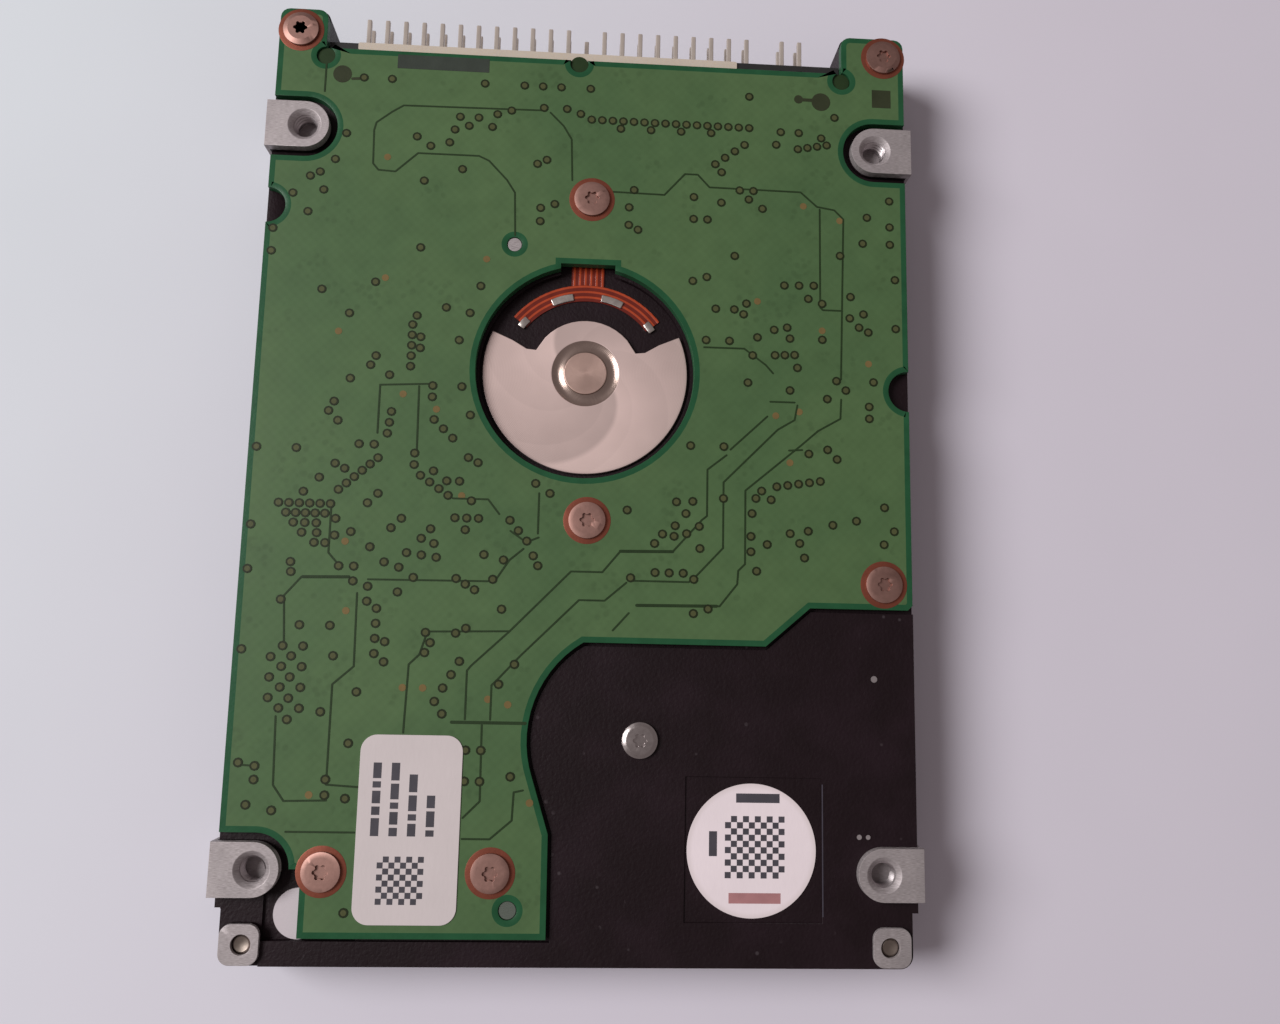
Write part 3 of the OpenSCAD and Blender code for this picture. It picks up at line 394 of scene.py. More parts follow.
    def relief(self, height: Value, depth: float) -> NodeSocket:
        """Turns a height pattern into a normal.

        Args:
            height: Pattern between 0 and 1.
            depth: How deep a step of 1 is, in millimetres.

        Returns:
            The normal's socket.
        """
        inputs = {"Height": height, "Distance": depth * MM, "Strength": 1.0}
        return self.make("ShaderNodeBump", inputs=inputs).outputs["Normal"]

    def surface(self, **inputs: object) -> Material:
        """Closes the material with a Principled surface.

        Args:
            inputs: The surface's sockets by name, in small letters and with _ for each space.

        Returns:
            The material.
        """
        named = {
            name.replace("_", " ").title().replace("Ior", "IOR"): value for name, value in inputs.items()
        }
        surface = self.make("ShaderNodeBsdfPrincipled", inputs=named)
        self.make("ShaderNodeOutputMaterial", inputs={"Surface": surface.outputs["BSDF"]})
        return self.material


class Tone(Enum):
    """Colours of the drive's finishes, in linear light."""

    # Casting
    CASTING = (0.010, 0.004, 0.006)
    CASTING_WORN = (0.0158, 0.0072, 0.0110)
    DUST = (0.12, 0.10, 0.11)
    BARE = (0.50, 0.455, 0.47)
    BARE_DARK = (0.30, 0.265, 0.27)
    PALE_SEAT = (0.62, 0.56, 0.60)
    DULL_PIN = (0.13, 0.15, 0.13)
    # Painted highlight on the lip of the recess round the round label
    LIP_HIGHLIGHT = (0.070, 0.062, 0.082)
    # Board
    BOARD = (0.070, 0.134, 0.055)
    BOARD_POUR = (0.085, 0.152, 0.062)
    BOARD_DARK = (0.020, 0.040, 0.014)
    BOARD_EDGE = (0.018, 0.088, 0.038)
    VIA_RIM = (0.017, 0.024, 0.009)
    VIA_MIDDLE = (0.082, 0.088, 0.037)
    TEST_DOT = (0.18, 0.125, 0.050)
    MARK = (0.033, 0.040, 0.020)
    MARK_BAR = (0.043, 0.053, 0.044)
    COPPER = (0.25, 0.070, 0.042)
    # Motor window
    PLATE = (0.62, 0.475, 0.45)
    PLATE_RIM = (0.36, 0.27, 0.27)
    CAP = (0.66, 0.46, 0.40)
    GROOVE = (0.46, 0.35, 0.31)
    SLEEVE = (0.34, 0.25, 0.16)
    FLEX = (0.15, 0.012, 0.005)
    FLEX_TRACK = (0.42, 0.055, 0.015)
    SOLDER = (0.66, 0.61, 0.58)
    # Screws, connector, labels and cover
    BOARD_SCREW = (0.37, 0.215, 0.185)
    PIVOT_SCREW = (0.50, 0.45, 0.45)
    SCREW_END = (0.30, 0.25, 0.22)
    COVER_SCREW = (0.50, 0.47, 0.46)
    HOUSING = (0.02, 0.02, 0.021)
    IVORY = (0.60, 0.52, 0.44)
    PIN = (0.58, 0.51, 0.46)
    LABEL = (0.66, 0.59, 0.60)
    LABEL_ROUND = (0.92, 0.81, 0.86)
    LABEL_COVER = (0.80, 0.79, 0.80)
    LABEL_WORN = (0.45, 0.38, 0.34)
    INK = (0.075, 0.07, 0.085)
    RED_INK = (0.42, 0.20, 0.21)
    COVER = (0.52, 0.52, 0.54)
    SOOT = (0.018, 0.018, 0.019)
    # Hidden pieces
    STATOR = (0.2, 0.21, 0.23)
    STATOR_WIRE = (0.45, 0.13, 0.04)
    ROTOR_MAGNET = (0.09, 0.09, 0.10)
    HUB = (0.60, 0.59, 0.60)
    SHAFT = (0.52, 0.52, 0.53)
    DISK = (0.56, 0.54, 0.52)
    DISK_EDGE = (0.62, 0.61, 0.60)
    ARM = (0.56, 0.55, 0.56)
    COIL_WIRE = (0.46, 0.15, 0.05)
    SUSPENSION = (0.55, 0.54, 0.54)
    SLIDER = (0.05, 0.048, 0.05)
    PIVOT = (0.54, 0.54, 0.55)
    BRACKET = (0.42, 0.42, 0.43)
    HEADER = (0.36, 0.33, 0.26)
    YOKE = (0.40, 0.39, 0.38)
    POST = (0.48, 0.47, 0.47)
    MAGNET = (0.56, 0.54, 0.51)
    STOP_RUBBER = (0.02, 0.02, 0.02)
    RAMP = (0.66, 0.65, 0.58)
    LATCH = (0.03, 0.03, 0.033)
    FILTER = (0.72, 0.72, 0.69)
    CRYSTAL = (0.5, 0.49, 0.48)
    CAPACITOR = (0.30, 0.19, 0.10)


@dataclass(frozen=True)
class Coat:
    """Black electrocoat on the casting, milled bare where the maker needs metal."""

    lug_spots: tuple[Spot, ...]
    bare_above: float
    flank: float
    pale_pad: Spot
    dull_pin: Spot
    grain: float = 0.35
    hole_r: float = 1.9
    hole_depth: float = 3.0
    seat_r: float = 2.4
    seat_depth: float = 0.8
    pin_r: float = 1.25
    blur: float = 0.05

    def within(self, shader: Shader, centre: Spot, radius: float) -> Value:
        """Gives a mask of what lies near a centre in plan.

        Args:
            shader: The material that is being made.
            centre: The centre.
            radius: Radius of the mask.

        Returns:
            1 inside the radius, 0 outside.
        """
        return shader.radius(centre).step(radius + self.blur, radius - self.blur)

    def build(self) -> Material:
        """Makes the material.

        Returns:
            The casting's material.
        """
        shader = Shader("casting_black")
        bare = (shader.z > self.bare_above) | (abs(shader.x) > self.flank)
        hole_foot = self.bare_above - self.hole_depth
        for spot in self.lug_spots:
            bare = bare | (self.within(shader, spot, self.hole_r) & (shader.z > hole_foot))
        seat_foot = self.bare_above - self.seat_depth
        seat = self.within(shader, self.pale_pad, self.seat_r) & (shader.z > seat_foot)
        bare = bare | seat
        orange_peel = shader.noise(self.grain, 3, 0.6)
        cloudy = shader.noise(6, 3, 0.55).step(0.35, 0.75)
        coat = shader.blend(cloudy, Tone.CASTING.value, Tone.CASTING_WORN.value)
        dust = shader.cells(1.9).step(0.13, 0.05) & shader.noise(3.1).step(0.5, 0.62)
        coat = shader.blend(dust * 0.35, coat, Tone.DUST.value)
        cutter = shader.noise(0.5, 2, 0.5, shader.turned(0, (1, 12, 1)))
        metal = shader.blend(cutter.step(0.25, 0.8), Tone.BARE_DARK.value, Tone.BARE.value)
        metal = shader.tinted(metal, shader.noise(4, 2) * 0.5 + 0.8)
        metal = shader.blend(self.within(shader, self.dull_pin, self.pin_r), metal, Tone.DULL_PIN.value)
        pattern = orange_peel * (1 - bare) + bare * cutter * 0.4
        return shader.surface(
            base_color=shader.blend(seat, shader.blend(bare, coat, metal), Tone.PALE_SEAT.value),
            metallic=(bare & (1 - seat)) * 0.45,
            roughness=(1 - bare) * (orange_peel * 0.25 + 0.38) + bare * (cutter * 0.2 + 0.42),
            specular_ior_level=0.22,
            normal=shader.relief(pattern, 0.05),
        )


@dataclass(frozen=True)
class SolderMask:
    """Green mask over copper: pours a little paler than the gaps, over a faint weave."""

    weave: float = 0.55
    blot: float = 14.0

    def build(self) -> Material:
        """Makes the material.

        Returns:
            The board's material.
        """
        shader = Shader("board_green")
        cloudy = shader.noise(self.blot, 3, 0.55)
        patchy = shader.noise(2.2, 2, 0.5)
        weave_x = (shader.x * (math.pi / self.weave)).sine()
        weave_y = (shader.y * (math.pi / self.weave)).sine()
        weave = weave_x * weave_y * 0.5 + 0.5
        green = shader.blend(cloudy.step(0.3, 0.7), Tone.BOARD.value, Tone.BOARD_POUR.value)
        green = shader.tinted(green, patchy * 0.24 + weave * 0.05 + 0.85)
        sunken = shader.cells(0.9).step(0.5, 0.2)
        speckled = sunken & shader.noise(5).step(0.54, 0.62)
        green = shader.blend(speckled * 0.18, green, Tone.BOARD_DARK.value)
        side = 1 - shader.facing_up().step(0.3, 0.7)
        green = shader.blend(side, green, Tone.BOARD_EDGE.value)
        relief = shader.relief(weave * 0.35 + patchy, 0.012)
        return shader.surface(
            base_color=green,
            roughness=patchy * 0.16 + 0.44,
            specular_ior_level=0.22,
            coat_weight=0.06,
            coat_roughness=0.35,
            normal=relief,
        )


@dataclass(frozen=True)
class Mask:
    """A plain tone: the board's gaps, margin and vias, the labels' ink and the painted highlight on the
    recess's lip.
    """

    name: str
    tone: Tone
    rough: float = 0.42
    vary: float = 0.25

    def build(self) -> Material:
        """Makes the material.

        Returns:
            The material.
        """
        shader = Shader(self.name)
        uneven = shader.noise(1.7, 2)
        fine = shader.noise(0.25, 2)
        return shader.surface(
            base_color=shader.tinted(self.tone.value, uneven * (2 * self.vary) + (1 - self.vary)),
            roughness=fine * 0.2 + (self.rough - 0.1),
            specular_ior_level=0.2,
            normal=shader.relief(fine, 0.01),
        )


class Lay(Enum):
    """How a metal surface was worked."""

    TURNED = "turned"
    BRUSHED = "brushed"
    ROLLED = "rolled"
    CAST = "cast"


@dataclass(frozen=True)
class Metal:
    """A metal surface with the marks of how it was worked."""

    name: str
    tone: Tone
    rough: float
    lay: Lay = Lay.ROLLED
    centre: Spot = (0.0, 0.0)
    pitch: float = 0.12
    depth: float = 0.006
    stain: float = 0.2
    metallic: float = 1.0

    def marks(self, shader: Shader) -> Value:
        """Gives the pattern of the tool's marks.

        Args:
            shader: The material that is being made.

        Returns:
            The pattern, between 0 and 1.
        """
        if self.lay is Lay.TURNED:
            rings = shader.radius(self.centre) + shader.noise(1.5) * 0.08
            return (rings * (math.tau / self.pitch)).sine() * 0.5 + 0.5
        if self.lay is Lay.BRUSHED:
            return shader.noise(self.pitch * 3, 3, 0.6, shader.turned(0, (0.04, 1, 1)))
        if self.lay is Lay.CAST:
            return shader.noise(self.pitch * 2, 3, 0.6)
        return shader.noise(self.pitch * 6, 2, 0.5, shader.turned(20, (1, 0.2, 1)))

    def build(self) -> Material:
        """Makes the material.

        Returns:
            The material.
        """
        shader = Shader(self.name)
        marks = self.marks(shader)
        stained = shader.noise(2.4, 3, 0.6)
        shade = marks * 0.18 + stained * self.stain + (0.91 - self.stain / 2)
        return shader.surface(
            base_color=shader.tinted(self.tone.value, shade),
            metallic=self.metallic,
            roughness=marks * 0.1 + stained * 0.12 + (self.rough - 0.08),
            normal=shader.relief(marks, self.depth),
        )


@dataclass(frozen=True)
class MotorPlate:
    """Bare turned disc under the spindle, with broad spiral highlights painted into its colour from its
    middle to its rim.
    """

    centre: Spot
    rim: float
    twist: float = 0.20
    # Counts of the spiral arms of painted highlight
    broad_highlight_arms: int = 2
    fine_highlight_arms: int = 7
    groove: float = 0.16
    dark_rim_width: float = 0.35

    def highlight_arms(self, shader: Shader, count: int, start: float) -> Value:
        """Gives spiral arms of painted highlight, each crisp on one side and fading on the other.

        Args:
            shader: The material that is being made.
            count: How many arms there are.
            start: Direction of the first crisp side, in radians.

        Returns:
            The pattern, between 0 and 1.
        """
        spiral = shader.angle(self.centre) + shader.radius(self.centre) * self.twist - start
        phase = 1 - (spiral * (count / math.tau)).fract()
        return phase * phase & phase.step(1.0, 0.94)

    def build(self) -> Material:
        """Makes the material.

        Returns:
            The material.
        """
        shader = Shader("motor_plate")
        out = shader.radius(self.centre)
        broad_highlight = self.highlight_arms(shader, self.broad_highlight_arms, 0.1)
        fine = self.highlight_arms(shader, self.fine_highlight_arms, 0.6)
        rings = (out * (math.tau / self.groove)).sine() * 0.5 + 0.5
        hazy = shader.noise(3, 2)
        # Painted highlight: the spiral arms lighten the plate's colour where its turned surface would catch
        # the lamps
        tone = broad_highlight * 0.52 + fine * 0.06 + hazy * 0.10 + rings * 0.03 + 0.84
        # Darker towards the rim
        edge = out.step(self.rim - self.dark_rim_width, self.rim)
        pale = shader.blend(edge * 0.4, Tone.PLATE.value, Tone.PLATE_RIM.value)
        return shader.surface(
            base_color=shader.tinted(pale, tone),
            metallic=0.35,
            roughness=(1 - broad_highlight) * 0.12 + hazy * 0.08 + 0.34,
            normal=shader.relief(rings, 0.003),
        )


@dataclass(frozen=True)
class Moulded:
    """Moulded plastic: fine grain, faint flow marks and a soft shine."""

    name: str
    tone: Tone
    rough: float = 0.42
    grain: float = 0.18
    glow: float = 0.0

    def build(self) -> Material:
        """Makes the material.

        Returns:
            The material.
        """
        shader = Shader(self.name)
        grain = shader.noise(self.grain, 3, 0.6)
        flow = shader.noise(5, 3, 0.6, shader.turned(15, (1, 0.3, 1)))
        return shader.surface(
            base_color=shader.tinted(self.tone.value, flow * 0.24 + grain * 0.1 + 0.83),
            roughness=grain * 0.16 + (self.rough - 0.08),
            subsurface_weight=self.glow,
            subsurface_radius=(0.001, 0.0008, 0.0005),
            normal=shader.relief(grain, 0.01),
        )


@dataclass(frozen=True)
class Film:
    """Paper or film label: faint fibres, yellowing and a worn rim."""

    name: str
    tone: Tone
    centre: Spot
    reach: float
    rough: float = 0.5

    def build(self) -> Material:
        """Makes the material.

        Returns:
            The material.
        """
        shader = Shader(self.name)
        fibres = shader.noise(0.3, 3, 0.65, shader.turned(35, (1, 0.3, 1)))
        aged = shader.noise(7, 3, 0.55)
        worn = shader.radius(self.centre).step(self.reach * 0.9, self.reach) * 0.25
        colour = shader.tinted(self.tone.value, aged * 0.14 + fibres * 0.05 + 0.90)
        colour = shader.blend(worn, colour, Tone.LABEL_WORN.value)
        return shader.surface(
            base_color=colour,
            roughness=fibres * 0.15 + (self.rough - 0.08),
            coat_weight=0.15,
            coat_roughness=0.25,
            normal=shader.relief(fibres, 0.006),
        )


@dataclass(frozen=True)
class Polyimide:
    """Amber film over copper tracks, which show lighter through it."""

    name: str
    centre: Spot
    pitch: float = 0.6
    fanned: bool = True
    arc_rim: float = 9.9

    def build(self) -> Material:
        """Makes the material.

        Returns:
            The material.
        """
        shader = Shader(self.name)
        pace = math.tau / self.pitch
        tracks = (shader.y * pace).sine().step(0.1, 0.6)
        if self.fanned:
            out = shader.radius(self.centre)
            tab = out.step(self.arc_rim - 0.1, self.arc_rim + 0.1)
            bent = (out * pace).sine().step(0.1, 0.6)
            straight = (shader.x * pace).sine().step(0.1, 0.6)
            tracks = bent * (1 - tab) + straight * tab
        wavy = shader.noise(1.2, 2)
        colour = shader.blend(tracks, Tone.FLEX.value, Tone.FLEX_TRACK.value)
        return shader.surface(
            base_color=shader.tinted(colour, wavy * 0.5 + 0.75),
            roughness=wavy * 0.2 + 0.2,
            coat_weight=0.4,
            coat_roughness=0.15,
            normal=shader.relief(tracks, 0.02),
        )


@dataclass(frozen=True)
class Windings:
    """Enamelled wire laid turn beside turn, with painted highlight on each turn and painted shade between
    turns, as fine bright ridges.
    """

    name: str
    tone: Tone
    centre: Spot
    pitch: float = 0.14

    def build(self) -> Material:
        """Makes the material.

        Returns:
            The material.
        """
        shader = Shader(self.name)
        turns = (shader.radius(self.centre) * (math.tau / self.pitch)).sine() * 0.5 + 0.5
        layers = (shader.z * (math.tau / self.pitch)).sine() * 0.5 + 0.5
        uneven = shader.noise(0.8, 2)
        # Painted highlight and shade: the colour rises on each turn's crest and falls between turns, over a
        # bump of the same ridges
        return shader.surface(
            base_color=shader.tinted(self.tone.value, turns * 0.35 + layers * 0.15 + uneven * 0.3 + 0.55),
            metallic=0.75,
            roughness=uneven * 0.16 + 0.24,
            normal=shader.relief(turns + layers, 0.02),
        )


@dataclass(frozen=True)
class Platter:
    """Sputtered disk: a near mirror with a data band and the faintest rings."""

    name: str
    centre: Spot
    ring_pitch: float = 0.4
    data_from: float = 14.5
    data_to: float = 31.6
    blur: float = 0.2

    def build(self) -> Material:
        """Makes the material.

        Returns:
            The material.
        """
        shader = Shader(self.name)
        out = shader.radius(self.centre)
        rings = (out * (math.tau / self.ring_pitch)).sine() * 0.5 + 0.5
        band = shader.inside(out, self.data_from, self.data_to, self.blur)
        haze = shader.noise(9, 2)
        colour = shader.blend(band, Tone.DISK_EDGE.value, Tone.DISK.value)
        return shader.surface(
            base_color=shader.tinted(colour, haze * 0.1 + 0.95),
            metallic=1.0,
            roughness=rings * 0.01 + haze * 0.03 + 0.05,
            normal=shader.relief(rings, 0.0004),
        )


@dataclass(frozen=True)
class Woven:
    """Felted filter cloth with a fine crossed weave."""

    name: str
    tone: Tone
    pitch: float = 0.35

    def build(self) -> Material:
        """Makes the material.

        Returns:
            The material.
        """
        shader = Shader(self.name)
        warp = ((shader.x + shader.y) * (math.pi / self.pitch)).sine()
        weft = (shader.z * (math.tau / self.pitch)).sine()
        weave = warp * weft * 0.5 + 0.5
        fuzz = shader.noise(0.2, 3, 0.7)
        return shader.surface(
            base_color=shader.tinted(self.tone.value, weave * 0.12 + fuzz * 0.2 + 0.78),
            roughness=fuzz * 0.1 + 0.8,
            sheen_weight=0.3,
            normal=shader.relief(weave + fuzz, 0.05),
        )


@dataclass(frozen=True)
class Laminated:
    """Stacked steel sheets, whose edges show as fine level lines."""

    name: str
    tone: Tone
    sheet: float = 0.2

    def build(self) -> Material:
        """Makes the material.

        Returns:
            The material.
        """
        shader = Shader(self.name)
        sheets = (shader.z * (math.tau / self.sheet)).sine().step(-0.9, -0.4)
        mottled = shader.noise(0.9, 3)
        return shader.surface(
            base_color=shader.tinted(self.tone.value, sheets * 0.35 + mottled * 0.3 + 0.5),
            metallic=0.9,
            roughness=mottled * 0.2 + 0.32,
            normal=shader.relief(sheets, 0.03),
        )


def points_out(edge: BMEdge) -> bool:
    """Tells whether an edge is an outer one."""
    return edge.is_convex


def round_off(mesh: BMesh, edges: Sequence[BMEdge], width: float) -> None:
    """Rounds edges of a mesh.

    Args:
        mesh: The mesh.
        edges: Its edges that are rounded.
        width: Width of the rounding.
    """
    bmesh.ops.bevel(
        mesh, geom=edges, offset=width, offset_type="OFFSET", segments=2, profile=0.5, affect="EDGES",
        material=-1, clamp_overlap=True,
    )


@dataclass
class Bench:
    """Turns finished meshes into pieces of the body that doesn't move, and dresses frame nodes."""

    body: str = "chassis"
    smooth_below: float = math.radians(32)
    round_above: float = math.radians(35)
    merge_within: float = 0.0005
    flat_within: float = math.radians(0.6)
    count: int = 0

    def place(self, name: str, mesh: BMesh, materials: Sequence[Material], slot: str,
              replaces: Sequence[str] = ()) -> Object:
        """Makes a piece from a mesh in millimetres.

        Args:
            name: The piece's name.
            mesh: Its mesh, which is used up.
            materials: Its materials, in the order of the mesh's material numbers.
            slot: The record's material slot; not used.
            replaces: Frame nodes that it stands for.

        Returns:
            The piece.
        """
        bmesh.ops.scale(mesh, vec=(MM, MM, MM), verts=mesh.verts)
        data = bpy.data.meshes.new(name)
        mesh.to_mesh(data)
        mesh.free()
        for material in materials:
            data.materials.append(material)
        data.shade_smooth()
        data.set_sharp_from_angle(angle=self.smooth_below)
        piece = bpy.data.objects.new(name, data)
        bpy.context.scene.collection.objects.link(piece)
        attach(piece, self.body)
        if replaces:
            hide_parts(*replaces)
            flat = piece.modifiers.new("flat_faces", "WEIGHTED_NORMAL")
            flat.keep_sharp = True
            flat.weight = 100
        self.count += 1
        log.info("piece %s: %d faces on %s", name, len(data.polygons), self.body)
        return piece

    def copied(self, node: str) -> BMesh:
        """Copies a frame node's mesh in millimetres, merged and with its flat faces joined.

        Args:
            node: The frame node.

        Returns:
            The copy.
        """
        mesh = bmesh.new()
        mesh.from_mesh(frame["nodes"][node].data)
        bmesh.ops.scale(mesh, vec=(1 / MM,) * 3, verts=mesh.verts)
        bmesh.ops.remove_doubles(mesh, verts=mesh.verts, dist=self.merge_within)
        bmesh.ops.dissolve_limit(
            mesh, angle_limit=self.flat_within, verts=mesh.verts, edges=mesh.edges, delimit=set()
        )
        return mesh

    def softened(self, node: str, width: float, material: Material, slot: str,
                 choose: Callable[[BMEdge], bool] = points_out) -> Object:
        """Stands a copy with rounded edges in for a frame node.

        Args:
            node: The frame node.
            width: Width of the rounding in millimetres.
            material: The copy's material.
            slot: The record's material slot.
            choose: Test that an edge passes to be rounded.

        Returns:
            The copy.
        """
        mesh = self.copied(node)
        sharp = [
            edge for edge in mesh.edges
            if len(edge.link_faces) == 2 and edge.calc_face_angle(0) > self.round_above and choose(edge)
        ]
        round_off(mesh, sharp, width)
        return self.place(f"{node}_soft", mesh, [material], slot, [node])

    def dress(self, material: Material, *nodes: str) -> None:
        """Gives carried-over frame nodes their finish.

        Args:
            material: The finish.
            nodes: The frame nodes.
        """
        for node in nodes:
            for holder in frame["nodes"][node].material_slots:
                holder.material = material
            log.info("dressed %s in %s", node, material.name)


def disc(mesh: BMesh, centre: Sequence[float], radius: float, height: float,
         sides: int) -> list[BMFace]:
    """Adds a low disc that stands on a level.

    Args:
        mesh: The mesh it joins.
        centre: Middle of its underside.
        radius: Its radius.
        height: Its height.
        sides: Its corners.

    Returns:
        Its upper face alone in a list.
    """
    ring = bmesh.ops.create_circle(
        mesh, cap_ends=True, segments=sides, radius=radius, matrix=Matrix.Translation(centre)
    )
    floor = ring["verts"][0].link_faces[0]
    raised = bmesh.ops.extrude_face_region(mesh, geom=[floor])["geom"]
    corners = [part for part in raised if isinstance(part, BMVert)]
    bmesh.ops.translate(mesh, vec=(0, 0, height), verts=corners)
    return [part for part in raised if isinstance(part, BMFace)]


def slab(mesh: BMesh, low: Sequence[float], high: Sequence[float], material: int = 0,
         turn: Optional[Matrix] = None) -> None:
    """Adds a box between two corners.

    Args:
        mesh: The mesh it joins.
        low: Lowest corner.
        high: Highest corner.
        material: Its material number.
        turn: Turn and move that is applied last.
    """
    low, high = Vector(low), Vector(high)
    matrix = Matrix.Translation((low + high) / 2) @ Matrix.Diagonal((*(high - low), 1))
    if turn:
        matrix = turn @ matrix
    corners = bmesh.ops.create_cube(mesh, size=1, matrix=matrix)["verts"]
    for face in {face for corner in corners for face in corner.link_faces}:
        face.material_index = material


def turned_ring(mesh: BMesh, centre: Sequence[float], section: Sequence[Spot],
                sides: int) -> None:
    """Turns a closed section fully about the upright through a centre, and closes its poles.

    Args:
        mesh: The mesh it joins, which holds only turned shapes.
        centre: Foot of the upright.
        section: Points of radius and height, in order round the section.
        sides: Steps of the turn.
    """
    foot = Vector(centre)
    corners = [mesh.verts.new(foot + Vector((radius, 0, height))) for radius, height in section]
    outline = mesh.faces.new(corners)
    bmesh.ops.spin(
        mesh, geom=[*outline.edges, *outline.verts], cent=foot, axis=(0, 0, 1), angle=math.tau, steps=sides,
        use_merge=True, use_normal_flip=False, use_duplicate=False,
    )
    bmesh.ops.delete(mesh, geom=[outline], context="FACES_ONLY")
    bmesh.ops.remove_doubles(mesh, verts=mesh.verts, dist=SAME_CORNER)
    on_axis = [edge for edge in mesh.edges if not edge.link_faces]
    bmesh.ops.delete(mesh, geom=on_axis, context="EDGES")
    bmesh.ops.recalc_face_normals(mesh, faces=mesh.faces)


def connected(corner: BMVert) -> list[BMFace]:
    """Gives every face that hangs together with a corner.

    Args:
        corner: The corner to start from.

    Returns:
        The faces.
    """
    seen, waiting = {corner}, [corner]
    faces: dict[BMFace, None] = {}
    while waiting:
        for face in waiting.pop().link_faces:
            faces[face] = None
            for other in face.verts:
                if other not in seen:
                    seen.add(other)
                    waiting.append(other)
    return list(faces)


def islands(node: str) -> list[Vector]:
    """Finds the middle of each separate solid of a frame node.

    Args:
        node: The frame node.

    Returns:
        The middles of their boxes in millimetres, from the connector's end down and from left to right.
    """
    mesh = bmesh.new()
    mesh.from_mesh(frame["nodes"][node].data)
    bmesh.ops.remove_doubles(mesh, verts=mesh.verts, dist=SAME_CORNER * MM)
    left = set(mesh.verts)
    middles = []
    while left:
        faces = connected(next(iter(left)))
        corners = {corner for face in faces for corner in face.verts}
        left -= corners
        spots = [corner.co / MM for corner in corners]
        low = Vector(map(min, zip(*spots)))
        high = Vector(map(max, zip(*spots)))
        middles.append((low + high) / 2)
    mesh.free()
    return sorted(middles, key=lambda middle: (round(-middle.y, 1), middle.x))


@dataclass(frozen=True)
class View:
    """The photograph's view: place in millimetres, aim, roll and lens."""

    place: Sequence[float] = (0.1, -20.0, 114.2)
    aim: Sequence[float] = (0.054, 0.144, -0.988)
    right: Sequence[float] = (0.998, 0.020, 0.057)
    lens: float = 28.97
    sensor: float = 36.0
    shift: Spot = (0.0, 0.0)
    nearest: float = 0.01
    steps: int = 60
    step_share: float = 1 / 40

    def axes(self) -> Matrix:
        """Gives the camera's turn: its right, its up and away from its aim.

        Returns:
            The three axes as a matrix's columns.
        """
        back = -Vector(self.aim).normalized()
        right = Vector(self.right)
        right = (right - back * right.dot(back)).normalized()
        return Matrix((right, back.cross(right), back)).transposed()

    def build(self) -> Object:
        """Makes the camera and gives it to the scene.

        Returns:
            The camera.
        """
        data = bpy.data.cameras.new("photo_view")
        data.lens = self.lens
        data.sensor_width = self.sensor
        data.sensor_fit = "AUTO"
        data.shift_x, data.shift_y = self.shift
        data.clip_start = self.nearest
        camera = bpy.data.objects.new("photo_view", data)
        camera.matrix_world = Matrix.Translation(in_metres(self.place)) @ self.axes().to_4x4()
        bpy.context.scene.collection.objects.link(camera)
        bpy.context.scene.camera = camera
        return camera

    def on_surface(self, spot: Spot, carrier: BVHTree) -> Vector:
        """Finds what an image point shows on a surface.

        Args:
            spot: Image point in pixels.
            carrier: The surface as finished, in metres.

        Returns:
            The place in millimetres; after a miss, the nearest one to the ray.
        """
        longest = max(WIDE, TALL)
        ray = Vector((
            spot[0] - WIDE / 2 + self.shift[0] * longest, TALL / 2 - spot[1] + self.shift[1] * longest,
            -longest * self.lens / self.sensor,
        ))
        ray = (self.axes() @ ray).normalized()
        start = in_metres(self.place)
        hit = carrier.ray_cast(start, ray)[0]
        if hit is None:
            reach = start.length / abs(ray.z)
            places = (start + ray * (reach * step * self.step_share) for step in range(1, self.steps))
            found = (carrier.find_nearest(place) for place in places)
            hit = min(found, key=lambda nearest: nearest[3])[0]
        return hit / MM

    def shown_at(self, place: Vector) -> Spot:
        """Gives where a place shows in the photograph's frame.

        Args:
            place: Place in metres.

        Returns:
            Its pixel.
        """
        seen = self.axes().transposed() @ (place - in_metres(self.place))
        longest = max(WIDE, TALL)
        focal = longest * self.lens / self.sensor
        across = WIDE / 2 - focal * seen.x / seen.z - self.shift[0] * longest
        return across, TALL / 2 + focal * seen.y / seen.z + self.shift[1] * longest


def tree_of(*pieces: Object) -> BVHTree:
    """Builds a search tree of pieces as they are finished, in metres.

    Args:
        pieces: The pieces.

    Returns:
        The tree.
    """
    mesh = bmesh.new()
    shown = bpy.context.evaluated_depsgraph_get()
    for piece in pieces:
        data = piece.evaluated_get(shown).to_mesh()
        mesh.from_mesh(data)
        piece.evaluated_get(shown).to_mesh_clear()
    tree = BVHTree.FromBMesh(mesh)
    mesh.free()
    return tree


